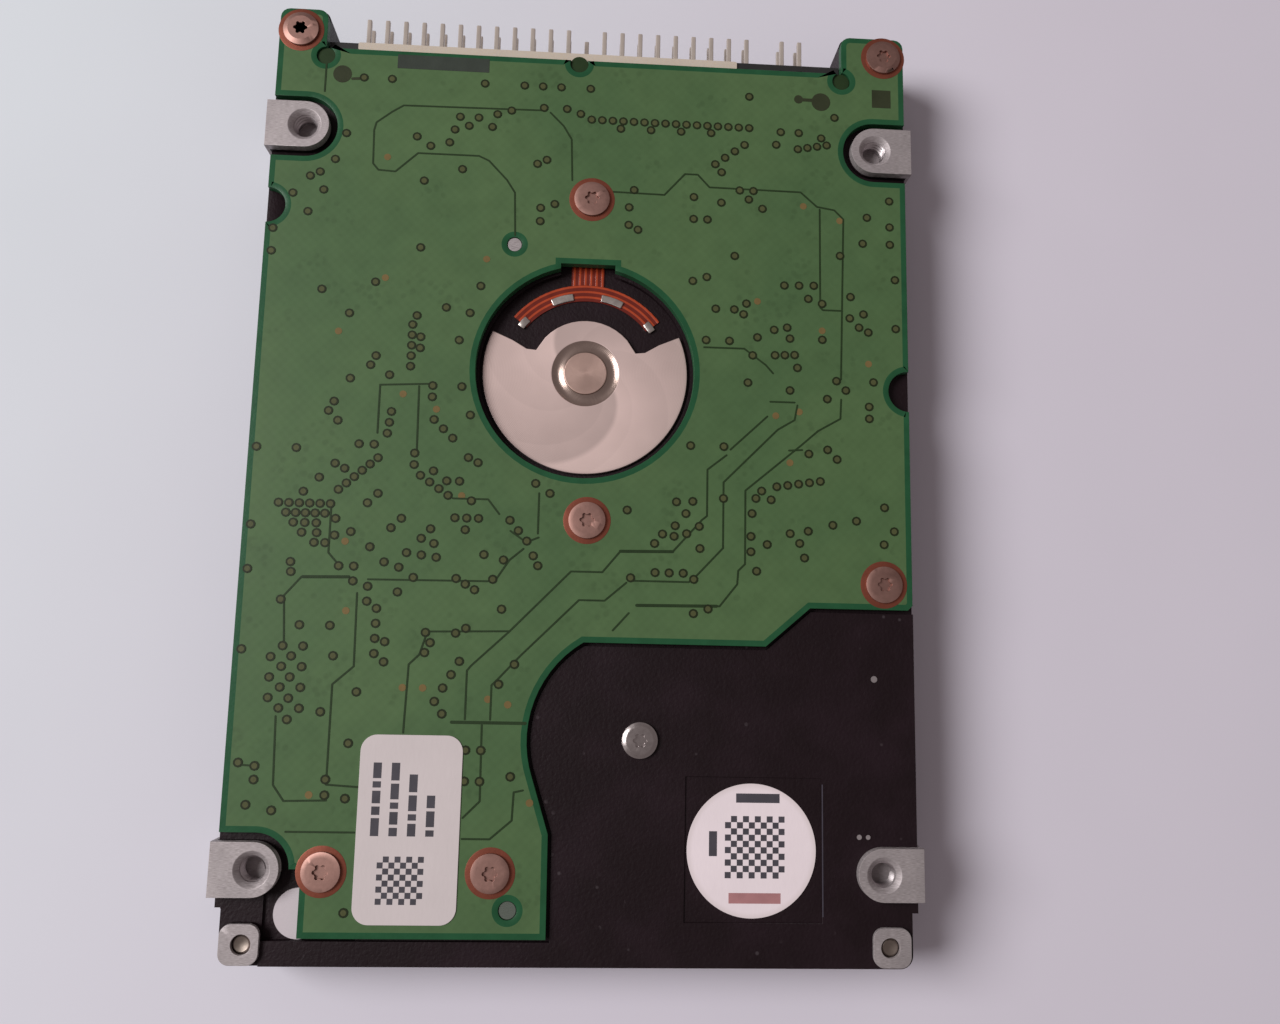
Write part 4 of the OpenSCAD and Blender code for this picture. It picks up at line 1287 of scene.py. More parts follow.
@dataclass(frozen=True)
class Studio:
    """Pale floor, a soft lamp from the left, one from below for the cover's side, and a fill all round."""

    tone: Colour = (0.74, 0.70, 0.80)
    far_tone: Colour = (0.70, 0.745, 0.80)
    lamp_tone: Colour = (1.0, 0.985, 0.97)
    fill_tone: Colour = (1.0, 0.87, 0.85)
    key_watts: float = 5.3
    key_place: Sequence[float] = (-0.53, 0.10, 0.53)
    lamp_size: float = 0.42
    fill: float = 0.21
    under_watts: float = 3.6
    under_place: Sequence[float] = (0.50, 0.20, -0.50)
    reach: float = 1.6
    floor_level: float = -0.00002
    clear_within: float = 0.00012

    def floor(self) -> None:
        """Makes the floor, with a slow drift of colour.

        It is clear from below. From above it is clear only to light that starts right on it, so that the
        room's light reaches the cover, and the camera always sees it.
        """
        shader = Shader("floor")
        drift = (shader.y * 0.5 - shader.x).step(-40, 110)
        grain = shader.noise(26, 2)
        colour = shader.blend(drift, self.tone, self.far_tone)
        colour = shader.tinted(colour, grain * 0.05 + 0.975)
        paper = shader.make(
            "ShaderNodeBsdfPrincipled",
            inputs={"Base Color": colour, "Roughness": 0.85, "Specular IOR Level": 0.1},
        )
        clear = shader.make("ShaderNodeBsdfTransparent")
        side = shader.make("ShaderNodeNewGeometry")
        ray = shader.make("ShaderNodeLightPath")
        far = Value(shader, ray.outputs["Ray Length"]) > self.clear_within
        seen = Value(shader, ray.outputs["Is Camera Ray"]) | far
        shown = seen & (1 - Value(shader, side.outputs["Backfacing"]))
        both = shader.make(
            "ShaderNodeMixShader",
            inputs={0: shown, 1: clear.outputs["BSDF"], 2: paper.outputs["BSDF"]},
        )
        shader.make("ShaderNodeOutputMaterial", inputs={"Surface": both.outputs["Shader"]})
        mesh = bmesh.new()
        level = Matrix.Translation((0, 0, self.floor_level))
        bmesh.ops.create_grid(mesh, x_segments=1, y_segments=1, size=self.reach, matrix=level)
        data = bpy.data.meshes.new("floor")
        mesh.to_mesh(data)
        mesh.free()
        data.materials.append(shader.material)
        floor = bpy.data.objects.new("floor", data)
        bpy.context.scene.collection.objects.link(floor)
        floor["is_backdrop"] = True

    def lamps(self) -> None:
        """Makes the key lamp, the lamp under the floor for the cover's side, and the world's fill."""
        lamps = (("key", self.key_watts, self.key_place), ("under", self.under_watts, self.under_place))
        for name, watts, spot in lamps:
            data = bpy.data.lights.new(name, "AREA")
            data.energy = watts
            data.shape = "DISK"
            data.size = self.lamp_size
            data.color = self.lamp_tone
            lamp = bpy.data.objects.new(name, data)
            place = Vector(spot)
            turn = place.to_track_quat("Z", "Y").to_matrix().to_4x4()
            lamp.matrix_world = Matrix.Translation(place) @ turn
            bpy.context.scene.collection.objects.link(lamp)
        world = bpy.data.worlds.new("fill")
        world.use_nodes = True
        sky = world.node_tree.nodes["Background"]
        sky.inputs["Color"].default_value = (*self.fill_tone, 1.0)
        sky.inputs["Strength"].default_value = self.fill
        bpy.context.scene.world = world

    def build(self) -> None:
        """Makes the floor and the lamps, and sets the plain view transform."""
        self.floor()
        self.lamps()
        bpy.context.scene.view_settings.view_transform = "Standard"


@dataclass
class Casting:
    """Black casting with its bare lugs, tapped holes and pads."""

    bench: Bench
    plateau_below: float = 1.0
    bare_over_plateau: float = 0.06
    flank_depth: float = 0.34
    rounding: float = 0.12
    level_room: float = 0.02
    pale_pad: Spot = (-26.525, -44.8)
    dull_pin: Spot = (-6.3, -44.2)
    bore: float = 1.25
    thread_pitch: float = 0.5
    thread_turns: int = 3
    thread_from: float = 0.6
    thread_depth: float = 0.14
    thread_half: float = 0.16
    thread_root: float = 0.02
    thread_steps: int = 20
    screw_end_r: float = 0.93
    screw_end_below: float = 2.0
    flecks: Sequence[Sequence[float]] = ((30.3, -21.3, 0.34), (28.6, -37.0, 0.26), (29.5, -37.0, 0.24))
    fleck_film: float = 0.03
    # Place, width and thickness of the painted highlight strip on the recess's lip, from the pivot screw
    highlight_from_pivot: Sequence[float] = (18.5, -16.9, -4.1)
    highlight_wide: float = 0.12
    highlight_film: float = 0.02

    def build(self) -> None:
        """Makes the casting and what shows on it."""
        low, high = node_box("base_casting")
        plateau = high.z - self.plateau_below
        lugs = tuple(tuple(hole.xy) for hole in tapped_holes().values())
        coat = Coat(
            lugs, plateau + self.bare_over_plateau, high.x - self.flank_depth, self.pale_pad, self.dull_pin
        ).build()

        def near_top(edge: BMEdge) -> bool:
            """Picks the outer edges of the lugs, the pads and the plateau."""
            return edge.is_convex and min(corner.co.z for corner in edge.verts) > plateau - self.level_room

        self.bench.softened("base_casting", self.rounding, coat, "casting_black", near_top)
        self.threads(lugs, high.z)
        self.screw_ends(high.z)
        self.specks(plateau)
        self.recess_lip_highlight(plateau)

    def threads(self, lugs: Sequence[Spot], top: float) -> None:
        """Cuts a look of thread into each mounting hole: a ridge that winds down its wall.

        Args:
            lugs: The holes' centres.
            top: Height of the lugs' faces.
        """
        mesh = bmesh.new()
        ridge = (
            (self.thread_root, 0, self.thread_half), (-self.thread_depth, 0, 0),
            (self.thread_root, 0, -self.thread_half),
        )
        for x, y in lugs:
            start = Vector((x + self.bore, y, top - self.thread_from))
            corners = [mesh.verts.new(start + Vector(offset)) for offset in ridge]
            edges = [mesh.edges.new(pair) for pair in zip(corners, corners[1:])]
            bmesh.ops.spin(
                mesh, geom=[*corners, *edges], cent=(x, y, 0), axis=(0, 0, 1),
                angle=math.tau * self.thread_turns, steps=self.thread_steps * self.thread_turns,
                dvec=(0, 0, -self.thread_pitch / self.thread_steps), use_merge=False, use_duplicate=False,
            )
        bmesh.ops.recalc_face_normals(mesh, faces=mesh.faces)
        steel = Metal("thread_metal", Tone.BARE, 0.34, Lay.TURNED, lugs[0]).build()
        self.bench.place("mounting_threads", mesh, [steel], "casting_black")

    def screw_ends(self, top: float) -> None:
        """Shows the ends of the cover's corner screws in the two corner pads.

        Args:
            top: Height of the lugs' faces.
        """
        mesh = bmesh.new()
        full = self.screw_end_r
        section = (
            (0.0, 0.0), (full, 0.0), (full, 1.0), (full * 0.75, 1.2), (full * 0.35, 1.12), (0.0, 1.1),
        )
        for corner in sorted(islands("cover_screws"), key=lambda screw: screw.y)[:2]:
            turned_ring(mesh, (corner.x, corner.y, top - self.screw_end_below), section, 24)
        steel = Metal("screw_end_metal", Tone.SCREW_END, 0.4, Lay.CAST, pitch=0.2, stain=0.4).build()
        self.bench.place("corner_screw_ends", mesh, [steel], "casting_black")

    def specks(self, plateau: float) -> None:
        """Shows the three pale flecks of the cast.

        Args:
            plateau: Height of the casting's plain top.
        """
        mesh = bmesh.new()
        for x, y, radius in self.flecks:
            disc(mesh, (x, y, plateau), radius, self.fleck_film, 10)
        pale = Metal("fleck_metal", Tone.BARE, 0.5, Lay.CAST, pitch=0.2, stain=0.4).build()
        self.bench.place("cast_flecks", mesh, [pale], "casting_black")

    def recess_lip_highlight(self, plateau: float) -> None:
        """Paints a highlight on the lip of the recess round the label, as a thin pale strip on the black
        casting.

        Args:
            plateau: Height of the casting's plain top.
        """
        pivot = node_middle("pivot_screw")
        beside, low, high = self.highlight_from_pivot
        left = pivot.x + beside
        mesh = bmesh.new()
        slab(mesh, (left, pivot.y + low, plateau),
             (left + self.highlight_wide, pivot.y + high, plateau + self.highlight_film))
        paint = Mask("lip_highlight_paint", Tone.LIP_HIGHLIGHT, 0.4).build()
        self.bench.place("recess_lip_highlight", mesh, [paint], "casting_black")


@dataclass
class Cover:
    """Pressed steel cover on which the drive lies, with its gasket, screws and label."""

    bench: Bench
    rounding: float = 0.06
    screw_rounding: float = 0.05
    worn_from_middle: float = 40.0
    film: float = 0.012
    rows: Sequence[float] = (0.50, 0.42, 0.46, 0.30, 0.44, 0.36, 0.28)
    first_row: float = 0.78
    row_pitch: float = 0.075
    row_tall: float = 0.022
    rule_tall: float = 0.015
    rule_foot: float = 0.86
    side: float = 0.06
    stripes: int = 14
    stripe_from: float = 0.62
    stripe_span: float = 0.32
    stripe_feet: Spot = (0.10, 0.22)
    stripe_rule: float = 0.32

    def build(self) -> None:
        """Makes the cover's pieces."""
        steel = Metal("cover_steel", Tone.COVER, 0.34, Lay.BRUSHED, pitch=0.1, depth=0.004).build()
        self.bench.softened("top_cover", self.rounding, steel, "cover_steel")
        self.bench.dress(Moulded("gasket", Tone.SOOT, 0.7).build(), "cover_gasket")
        screw = Metal("cover_screw", Tone.COVER_SCREW, 0.3, Lay.TURNED, (0, 0)).build()
        self.bench.softened("cover_screws", self.screw_rounding, screw, "screw_steel")
        self.label()

    def label(self) -> None:
        """Dresses the cover's label, and lays plain bars and stripes on it, sized as shares of it."""
        low, high = node_box("cover_label")
        middle = (low + high) / 2
        spot = (middle.x, middle.y)
        film = Film("cover_label_film", Tone.LABEL_COVER, spot, self.worn_from_middle).build()
        self.bench.dress(film, "cover_label")
        wide, tall = high.x - low.x, high.y - low.y
        ink = bmesh.new()

        def bar(left: float, foot: float, right: float, head: float) -> None:
            """Lays one bar between its sides."""
            slab(ink, (high.x - right * wide, low.y + foot * tall, low.z - self.film),
                 (high.x - left * wide, low.y + head * tall, low.z))

        far = 1 - self.side
        bar(self.side, self.rule_foot, far, self.rule_foot + self.rule_tall)
        for row, reach in enumerate(self.rows):
            foot = self.first_row - row * self.row_pitch
            bar(self.side, foot, self.side + reach, foot + self.row_tall)
        pitch = self.stripe_span / self.stripes
        for stripe in range(self.stripes):
            left = self.stripe_from + stripe * pitch
            bar(left, self.stripe_feet[0], left + (0.5 + 0.3 * (stripe % 2)) * pitch, self.stripe_feet[1])
        bar(self.stripe_from, self.stripe_rule, far, self.stripe_rule + self.rule_tall)
        grey = Mask("cover_label_ink", Tone.INK, 0.5).build()
        self.bench.place("cover_label_marks", ink, [grey], "label_white")


@dataclass
class Connector:
    """Two rows of pins in a black housing with an ivory strip."""

    bench: Bench
    housing_rounding: float = 0.06
    strip_rounding: float = 0.05
    pin_rounding: float = 0.1

    def build(self) -> None:
        """Dresses the housing, the strip and the pins."""
        black = Moulded("housing_plastic", Tone.HOUSING, 0.45).build()
        self.bench.softened("connector_housing", self.housing_rounding, black, "plastic_black")
        ivory = Moulded("strip_plastic", Tone.IVORY, 0.45, glow=0.1).build()
        self.bench.softened("pin_insulator", self.strip_rounding, ivory, "plastic_ivory")
        tinned = Metal("pin_metal", Tone.PIN, 0.3, Lay.ROLLED, pitch=0.08, metallic=0.4).build()
        self.bench.softened("connector_pins", self.pin_rounding, tinned, "contact_metal")


@dataclass
class Motor:
    """Spindle motor as the window shows it: turned plate, cap, polished ring, flex and pads."""

    bench: Bench
    plate_rounding: float = 0.1
    cap_rounding: float = 0.12
    pad_rounding: float = 0.1
    groove_bore: float = 2.34
    groove_rim: float = 3.58
    groove_depth: float = 0.2
    groove_floor: float = 0.02
    groove_seat: float = 0.005
    groove_steps: int = 10

    def build(self) -> None:
        """Makes and dresses the motor's pieces."""
        low, high = node_box("motor_base")
        centre = node_middle("thrust_cap")
        spot = (centre.x, centre.y)
        plate = MotorPlate(spot, (high.x - low.x) / 2).build()
        self.bench.softened("motor_base", self.plate_rounding, plate, "bare_aluminium")
        cap = Metal("thrust_cap_metal", Tone.CAP, 0.34, Lay.TURNED, spot, stain=0.35, metallic=0.8).build()
        self.bench.softened("thrust_cap", self.cap_rounding, cap, "bare_aluminium")
        self.bench.dress(Metal("sleeve_bronze", Tone.SLEEVE, 0.4, Lay.TURNED, spot).build(),
                         "bearing_sleeve")
        self.groove(spot)
        self.bench.dress(Laminated("stator_steel", Tone.STATOR).build(), "stator_core")
        self.bench.dress(Windings("stator_wire", Tone.STATOR_WIRE, spot).build(), "stator_coils")
        self.bench.dress(Polyimide("motor_flex_film", spot).build(), "motor_flex")
        solder = Metal("solder", Tone.SOLDER, 0.3, Lay.CAST, pitch=0.3, stain=0.4).build()
        self.bench.softened("solder_pads", self.pad_rounding, solder, "contact_metal")

    def groove(self, spot: Spot) -> None:
        """Turns the polished hollow ring between the cap and the plate.

        Args:
            spot: Middle of the cap in plan.
        """
        floor = node_box("bearing_sleeve")[1].z + self.groove_seat
        shares = [step / self.groove_steps for step in range(self.groove_steps + 1)]
        hollow = [
            (self.groove_bore + (self.groove_rim - self.groove_bore) * share,
             self.groove_floor + self.groove_depth * (2 * share - 1) ** 2)
            for share in shares
        ]
        section = [*hollow, (self.groove_rim, 0), (self.groove_bore, 0)]
        mesh = bmesh.new()
        turned_ring(mesh, (*spot, floor), section, 64)
        ring = Metal("groove_metal", Tone.GROOVE, 0.24, Lay.TURNED, spot, stain=0.3, metallic=0.9).build()
        self.bench.place("sleeve_groove", mesh, [ring], "bronze")


@dataclass
class Insides:
    """Everything that the board and the cover hide: disks, actuator, magnets, ramp and filters."""

    bench: Bench

    def build(self) -> None:
        """Dresses the hidden frame nodes."""
        dress = self.bench.dress
        axle = node_middle("thrust_cap")
        hub = (axle.x, axle.y)
        pin = node_middle("pivot_screw")
        pivot = (pin.x, pin.y)
        dress(Metal("hub_aluminium", Tone.HUB, 0.26, Lay.TURNED, hub, 0.2).build(),
              "rotor_hub", "disk_clamp", "platter_spacer")
        dress(Metal("shaft_steel", Tone.SHAFT, 0.16, Lay.TURNED, hub, 0.1).build(),
              "rotor_shaft", "clamp_screw")
        dress(Laminated("rotor_magnet_ring", Tone.ROTOR_MAGNET, 0.8).build(), "rotor_magnet")
        dress(Platter("platter_mirror", hub).build(), "lower_platter", "upper_platter")
        dress(Metal("arm_aluminium", Tone.ARM, 0.3, Lay.BRUSHED, pitch=0.12).build(),
              "actuator_block")
        dress(Windings("coil_wire", Tone.COIL_WIRE, pivot).build(), "voice_coil")
        dress(Metal("suspension_steel", Tone.SUSPENSION, 0.2, Lay.ROLLED, pitch=0.06).build(),
              "suspensions")
        dress(Moulded("slider_ceramic", Tone.SLIDER, 0.25, 0.1).build(), "head_sliders")
        dress(Metal("pivot_steel", Tone.PIVOT, 0.18, Lay.TURNED, pivot, 0.1).build(),
              "pivot_sleeve", "pivot_outer_races", "pivot_balls", "pivot_inner_races", "pivot_shaft")
        dress(Polyimide("arm_flex_film", pivot, 0.4, False).build(), "arm_flex")
        dress(Metal("bracket_steel", Tone.BRACKET, 0.36, Lay.BRUSHED, pitch=0.1).build(),
              "flex_bracket", "latch_pin")
        dress(Moulded("header_plastic", Tone.HEADER, 0.45).build(), "flex_header", "board_contacts")
        dress(Metal("yoke_nickel", Tone.YOKE, 0.3, Lay.ROLLED, pitch=0.14, stain=0.35).build(),
              "base_yoke", "cover_yoke")
        dress(Metal("post_steel", Tone.POST, 0.24, Lay.TURNED, pivot, 0.12).build(),
              "yoke_posts", "yoke_screws", "ramp_screw")
        dress(Metal("magnet_nickel", Tone.MAGNET, 0.2, Lay.CAST, pitch=0.25, stain=0.3).build(),
              "coil_magnets")
        dress(Moulded("stop_rubber", Tone.STOP_RUBBER, 0.75, 0.12).build(), "crash_stops")
        dress(Moulded("ramp_plastic", Tone.RAMP, 0.3, 0.15, 0.2).build(), "load_ramp")
        dress(Moulded("latch_plastic", Tone.LATCH, 0.4).build(), "latch")
        dress(Woven("filter_cloth", Tone.FILTER).build(), "recirculation_filter", "desiccant_pack")
        dress(Moulded("chip_epoxy", Tone.SOOT, 0.5, 0.12).build(),
              "controller_chip", "memory_chip", "motor_driver_chip", "flash_chip", "chip_resistors")
        dress(Metal("crystal_can", Tone.CRYSTAL, 0.26, Lay.BRUSHED, pitch=0.1).build(), "crystal")
        dress(Moulded("capacitor_ceramic", Tone.CAPACITOR, 0.35, 0.2).build(), "chip_capacitors")


@dataclass
class Fastenings:
    """Domed screws of the board and of the pivot."""

    bench: Bench
    rounding: float = 0.07

    def build(self) -> None:
        """Makes the screws with rounded edges."""
        domed = Metal("board_screw_metal", Tone.BOARD_SCREW, 0.5, Lay.CAST, pitch=0.2, stain=0.5).build()
        self.bench.softened("board_screws", self.rounding, domed, "screw_steel")
        pale = Metal("pivot_screw_metal", Tone.PIVOT_SCREW, 0.28, Lay.CAST, pitch=0.2, stain=0.35).build()
        self.bench.softened("pivot_screw", self.rounding, pale, "screw_steel")


@dataclass
class Labels:
    """The two labels on the upper side, with plain bars and chequers in place of any print."""

    bench: Bench
    view: View
    rounding: float = 0.03
    film: float = 0.012
    worn_from_middle: float = 11.0
    line_pitch: float = 1.78
    bar_wide: float = 0.8
    bar_gap: float = 0.3
    tall_lines: Sequence[float] = (7.3, 7.3, 6.1, 3.9)
    bar_lengths: Sequence[float] = (1.7, 0.8, 1.2, 0.6, 1.5)
    tall_side: float = 4.5
    tall_cells: int = 8
    tall_gap: float = 1.9
    round_side: float = 6.0
    round_cells: int = 10
    round_bars: Sequence[Sequence[Spot]] = (((-1.9, 4.3), (2.5, 5.2)), ((-4.6, -0.9), (-3.8, 1.5)))
    red_bar: Sequence[Spot] = ((-2.6, -5.4), (2.6, -4.4))
    laid: dict[str, Vector] = field(default_factory=dict)

    def chequer(self, mesh: BMesh, middle: Vector, side: float, cells: int) -> None:
        """Lays a plain chequered square, which holds no code.

        Args:
            mesh: The mesh it joins.
            middle: The square's middle on the label.
            side: Its side.
            cells: Cells along a side.
        """
        step = side / cells
        for row in range(cells):
            for column in range(row % 2, cells, 2):
                corner = middle + Vector((column * step - side / 2, row * step - side / 2, 0))
                slab(mesh, corner, corner + Vector((step, step, self.film)))

    def bars(self, mesh: BMesh, foot: Vector, length: float, first: int) -> None:
        """Lays one line of plain bars of uneven lengths, upwards from its foot.

        Args:
            mesh: The mesh it joins.
            foot: Middle of the line's lower end.
            length: The line's length.
            first: Which of the lengths comes first.
        """
        done, turn = 0.0, first
        while done < length - self.bar_gap:
            reach = min(self.bar_lengths[turn % len(self.bar_lengths)], length - done)
            low = foot + Vector((-self.bar_wide / 2, done, 0))
            slab(mesh, low, low + Vector((self.bar_wide, reach, self.film)))
            done += reach + self.bar_gap
            turn += 1

    def bar(self, mesh: BMesh, block: Vector, corners: Sequence[Spot]) -> None:
        """Lays one bar beside a chequered square.

        Args:
            mesh: The mesh it joins.
            block: The square's middle.
            corners: The bar's lower left and upper right corners, from that middle.
        """
        low, high = corners
        slab(mesh, block + Vector((*low, 0)), block + Vector((*high, self.film)))

    def mark(self, name: str, mesh: BMesh, ink: str, tone: Tone) -> None:
        """Makes a piece of what was laid on a label.

        Args:
            name: The piece's name.
            mesh: Its mesh.
            ink: The material's name.
            tone: The ink's colour.
        """
        self.bench.place(name, mesh, [Mask(ink, tone, 0.5).build()], "label_white")

    def place_block(self, name: str, label: Object) -> Vector:
        """Finds and notes the middle of a label's chequered square.

        Args:
            name: The image point's name.
            label: The label that carries it.

        Returns:
            The middle in millimetres.
        """
        self.laid[name] = self.view.on_surface(IMAGE_POINTS[name], tree_of(label))
        return self.laid[name]

    def tall(self) -> None:
        """Makes the tall label on the board, with four lines of bars over a chequered square."""
        middle = node_middle("board_label")
        film = Film("board_label_film", Tone.LABEL, (middle.x, middle.y), self.worn_from_middle).build()
        label = self.bench.softened("board_label", self.rounding, film, "label_white")
        block = self.place_block("tall_block", label)
        mesh = bmesh.new()
        self.chequer(mesh, block, self.tall_side, self.tall_cells)
        middle_line = (len(self.tall_lines) - 1) / 2
        foot_y = self.tall_side / 2 + self.tall_gap
        for line, length in enumerate(self.tall_lines):
            foot = block + Vector(((line - middle_line) * self.line_pitch, foot_y, 0))
            self.bars(mesh, foot, length, line)
        self.mark("tall_label_marks", mesh, "tall_ink", Tone.INK)

    def round(self) -> None:
        """Makes the round label on the casting, with a chequered square and three bars."""
        low, high = node_box("round_label")
        middle = (low + high) / 2
        reach = (high.x - low.x) / 2
        film = Film("round_label_film", Tone.LABEL_ROUND, (middle.x, middle.y), reach).build()
        label = self.bench.softened("round_label", self.rounding, film, "label_white")
        block = self.place_block("round_block", label)
        mesh = bmesh.new()
        self.chequer(mesh, block, self.round_side, self.round_cells)
        for bar in self.round_bars:
            self.bar(mesh, block, bar)
        self.mark("round_label_marks", mesh, "round_ink", Tone.INK)
        mesh = bmesh.new()
        self.bar(mesh, block, self.red_bar)
        self.mark("round_label_bar", mesh, "red_ink", Tone.RED_INK)

    def build(self) -> None:
        """Makes both labels."""
        self.tall()
        self.round()


# Stretches of a strip differ a little in height, so that no two faces lie in one plane where they cross
JOINT_RISE = 1.01
JOINT_SHARE = 0.8
JOINT_SIDES = 8


def path_slabs(mesh: BMesh, path: Sequence[Spot], level: float, width: float,
               height: float) -> None:
    """Lays a flat strip along a path, with round joints.

    Args:
        mesh: The mesh it joins.
        path: The strip's corners in plan.
        level: Height of its underside.
        width: Its width.
        height: Its thickness.
    """
    for start, end in zip(path, path[1:]):
        along = Vector(end) - Vector(start)
        turn = Matrix.Translation((*start, level)) @ Matrix.Rotation(math.atan2(along.y, along.x), 4, "Z")
        slab(mesh, (0, -width / 2, 0), (along.length, width / 2, height), turn=turn)
        height *= JOINT_RISE
    for spot in path:
        disc(mesh, (*spot, level), width / 2, height * JOINT_SHARE, JOINT_SIDES)


def run_of(start: Spot, end: Spot, count: int) -> list[Spot]:
    """Spaces spots evenly from a start to an end.

    Args:
        start: The first spot.
        end: The last spot.
        count: How many there are.

    Returns:
        The spots.
    """
    start, end = Vector(start), Vector(end)
    return [tuple(start.lerp(end, step / max(count - 1, 1))) for step in range(count)]


@dataclass
class Board:
    """Green circuit board with its gaps, vias, screw lands and small marks."""

    bench: Bench
    view: View
    margin: float = 0.6
    rounding: float = 0.07
    round_above: float = math.radians(60)
    level_room: float = 0.01
    notch_radius: float = 0.98
    gap_width: float = 0.19
    gap_rise: float = 0.02
    bold_width: float = 0.32
    bold_height: float = 0.014
    film: float = 0.02
    via_radius: float = 0.48
    via_height: float = 0.044
    via_wall: float = 0.19
    via_room: float = 0.3
    via_pace: float = 1.9
    test_radius: float = 0.38
    test_height: float = 0.016
    land_bore: float = 1.0
    land_reach: float = 2.45
    land_height: float = 0.03
    land_slope: float = 0.06
    bar_size: Spot = (9.9, 1.6)
    pad_side: float = 2.1
    # The keyhole mark, from its image point: two discs with their radii, and the corners of its neck
    key_wide: Sequence[float] = (1.2, -0.1, 1.05)
    key_narrow: Sequence[float] = (-1.3, 0.1, 0.5)
    key_neck: Sequence[Spot] = ((-1.3, -0.12), (0.4, 0.25))
    # The mark beside the left ear: place from the ear's screw, radius and tail
    ear_mark: Sequence[float] = (4.7, -4.9, 1.0)
    ear_tail: Sequence[Spot] = ((1.1, -0.5), (2.2, -0.4))
    tail_width: float = 0.3
    # Depth and thickness of the dark discs of painted shade in the notches
    notch_shade_below: float = 0.45
    notch_shade_height: float = 0.2
    notch_from_back: float = 2.2
    middle_notch: Spot = (-1.8, 1.7)
    pour_corner: Spot = (26.4, 29.1)
    laid: dict[str, Vector] = field(default_factory=dict)

    # Dark gaps between the pours, each a path of corners
    GAPS = (
        ((-5.6, 39.2), (-20.6, 39), (-21.8, 38.2), (-23.4, 36.9), (-23.6, 36), (-23.5, 32.2), (-22.9, 31.5),
         (-21.1, 31.4), (-18.8, 33.6), (-12.3, 33.6), (-11.2, 33.1), (-9.2, 31), (-8.3, 29.6), (-8.1, 24.8)),
        ((-4.8, 39), (-3.3, 37.5), (-2.4, 36), (-2.2, 31.3)),
        ((1.8, 30.2), (7.8, 30.1), (10, 32.6), (11.4, 32.6), (12.7, 31.2), (22.7, 31.1), (24.5, 29.5),
         (26.4, 29.2), (27.4, 28.2), (27, 10.2)),
        ((24.8, 29.2), (24.8, 18.1), (25.1, 17.8), (27, 17.8)),
        ((27, 8), (26.9, 5.9), (24.5, 4.5), (22.7, 2.9), (16.8, -2.1), (16.8, -9.8), (16.1, -10.5),
         (16, -11.9), (14.2, -14.2), (5.7, -14.3)),
        ((4.9, -15.1), (3.3, -16.9)),
        ((12.3, 13.2), (16.6, 13.2), (18.9, 11.5), (19.7, 10.6)),
        ((19.4, 7.5), (22, 7.5)),
        ((22.3, 7.2), (22, 5.6), (20.2, 4.5), (14.5, -1.3), (14.5, -8.2), (11.9, -11), (11, -11.8),
         (5.3, -11.8)),
        ((4.6, -12), (2.4, -13.9), (-0.2, -13.9), (-5.9, -19.6), (-8.1, -22), (-8.7, -22.6), (-8.7, -26)),
        ((19.1, 5.9), (15.2, 2.2)),
        ((14.8, 1.6), (12.8, 0), (12.8, -4.9), (12.3, -5.3), (9.3, -8.7), (3.9, -8.8), (2.1, -11),
         (-1.1, -11), (-7.1, -17.2), (-10.8, -20.7), (-11.2, -21.2), (-11.2, -26)),
        ((-12.5, -26.3), (-5.2, -26.3)),
        ((-9.5, -26.5), (-9.4, -33.9), (-11, -35.5)),
        ((-5.2, -32.8), (-6.1, -33), (-6.2, -35.7), (-8.3, -37.5), (-11, -37.5)),
        ((-28, -37), (-21.4, -37)),
        ((-29.7, -26), (-29.5, -32.6), (-28.4, -34.1), (-24.3, -34)),
        ((-22.5, -13.7), (-22.4, -21), (-24.4, -22.8), (-24.4, -32.5), (-21.2, -32.7)),
        ((-17.2, -27.4), (-17, -20.7), (-16, -19.7), (-15.3, -17.4), (-7.1, -17.2)),
        ((-29.4, -18.7), (-29.7, -14.1), (-28.1, -12.2), (-23.4, -12.1)),
        ((-21.5, -12.3), (-8.8, -12.2), (-7.4, -10), (-6, -8.8)),
        ((-5.7, -8.1), (-4.5, -7.6)),
        ((-4.6, -7.2), (-4.6, -3)),
        ((-13.4, -3.8), (-9.8, -3.8), (-8.6, -5.3)),
        ((-7.4, -7), (-5.8, -8.1)),
        ((-25.6, -5), (-25.6, -9.7), (-24.5, -10.9)),
        ((-21.4, 2.8), (-21.4, 7.9), (-16, 8.2)),
        ((-17.4, 7.9), (-17.3, 1)),
        ((-33.1, -30.7), (-31.4, -30.8)),
        ((21.4, 2.3), (22.8, 2.4)),
        ((-29.1, 43.4), (-29.1, 40.2)),
    )
    # Stretches where a gap is broader
    BOLD = (
        ((-28, -12.2), (-23.4, -12.1)),
        ((-12.5, -26.3), (-5.2, -26.3)),
        ((3.9, -8.8), (9.3, -8.7)),
        ((5.7, -14.3), (13.9, -14.2)),
    )
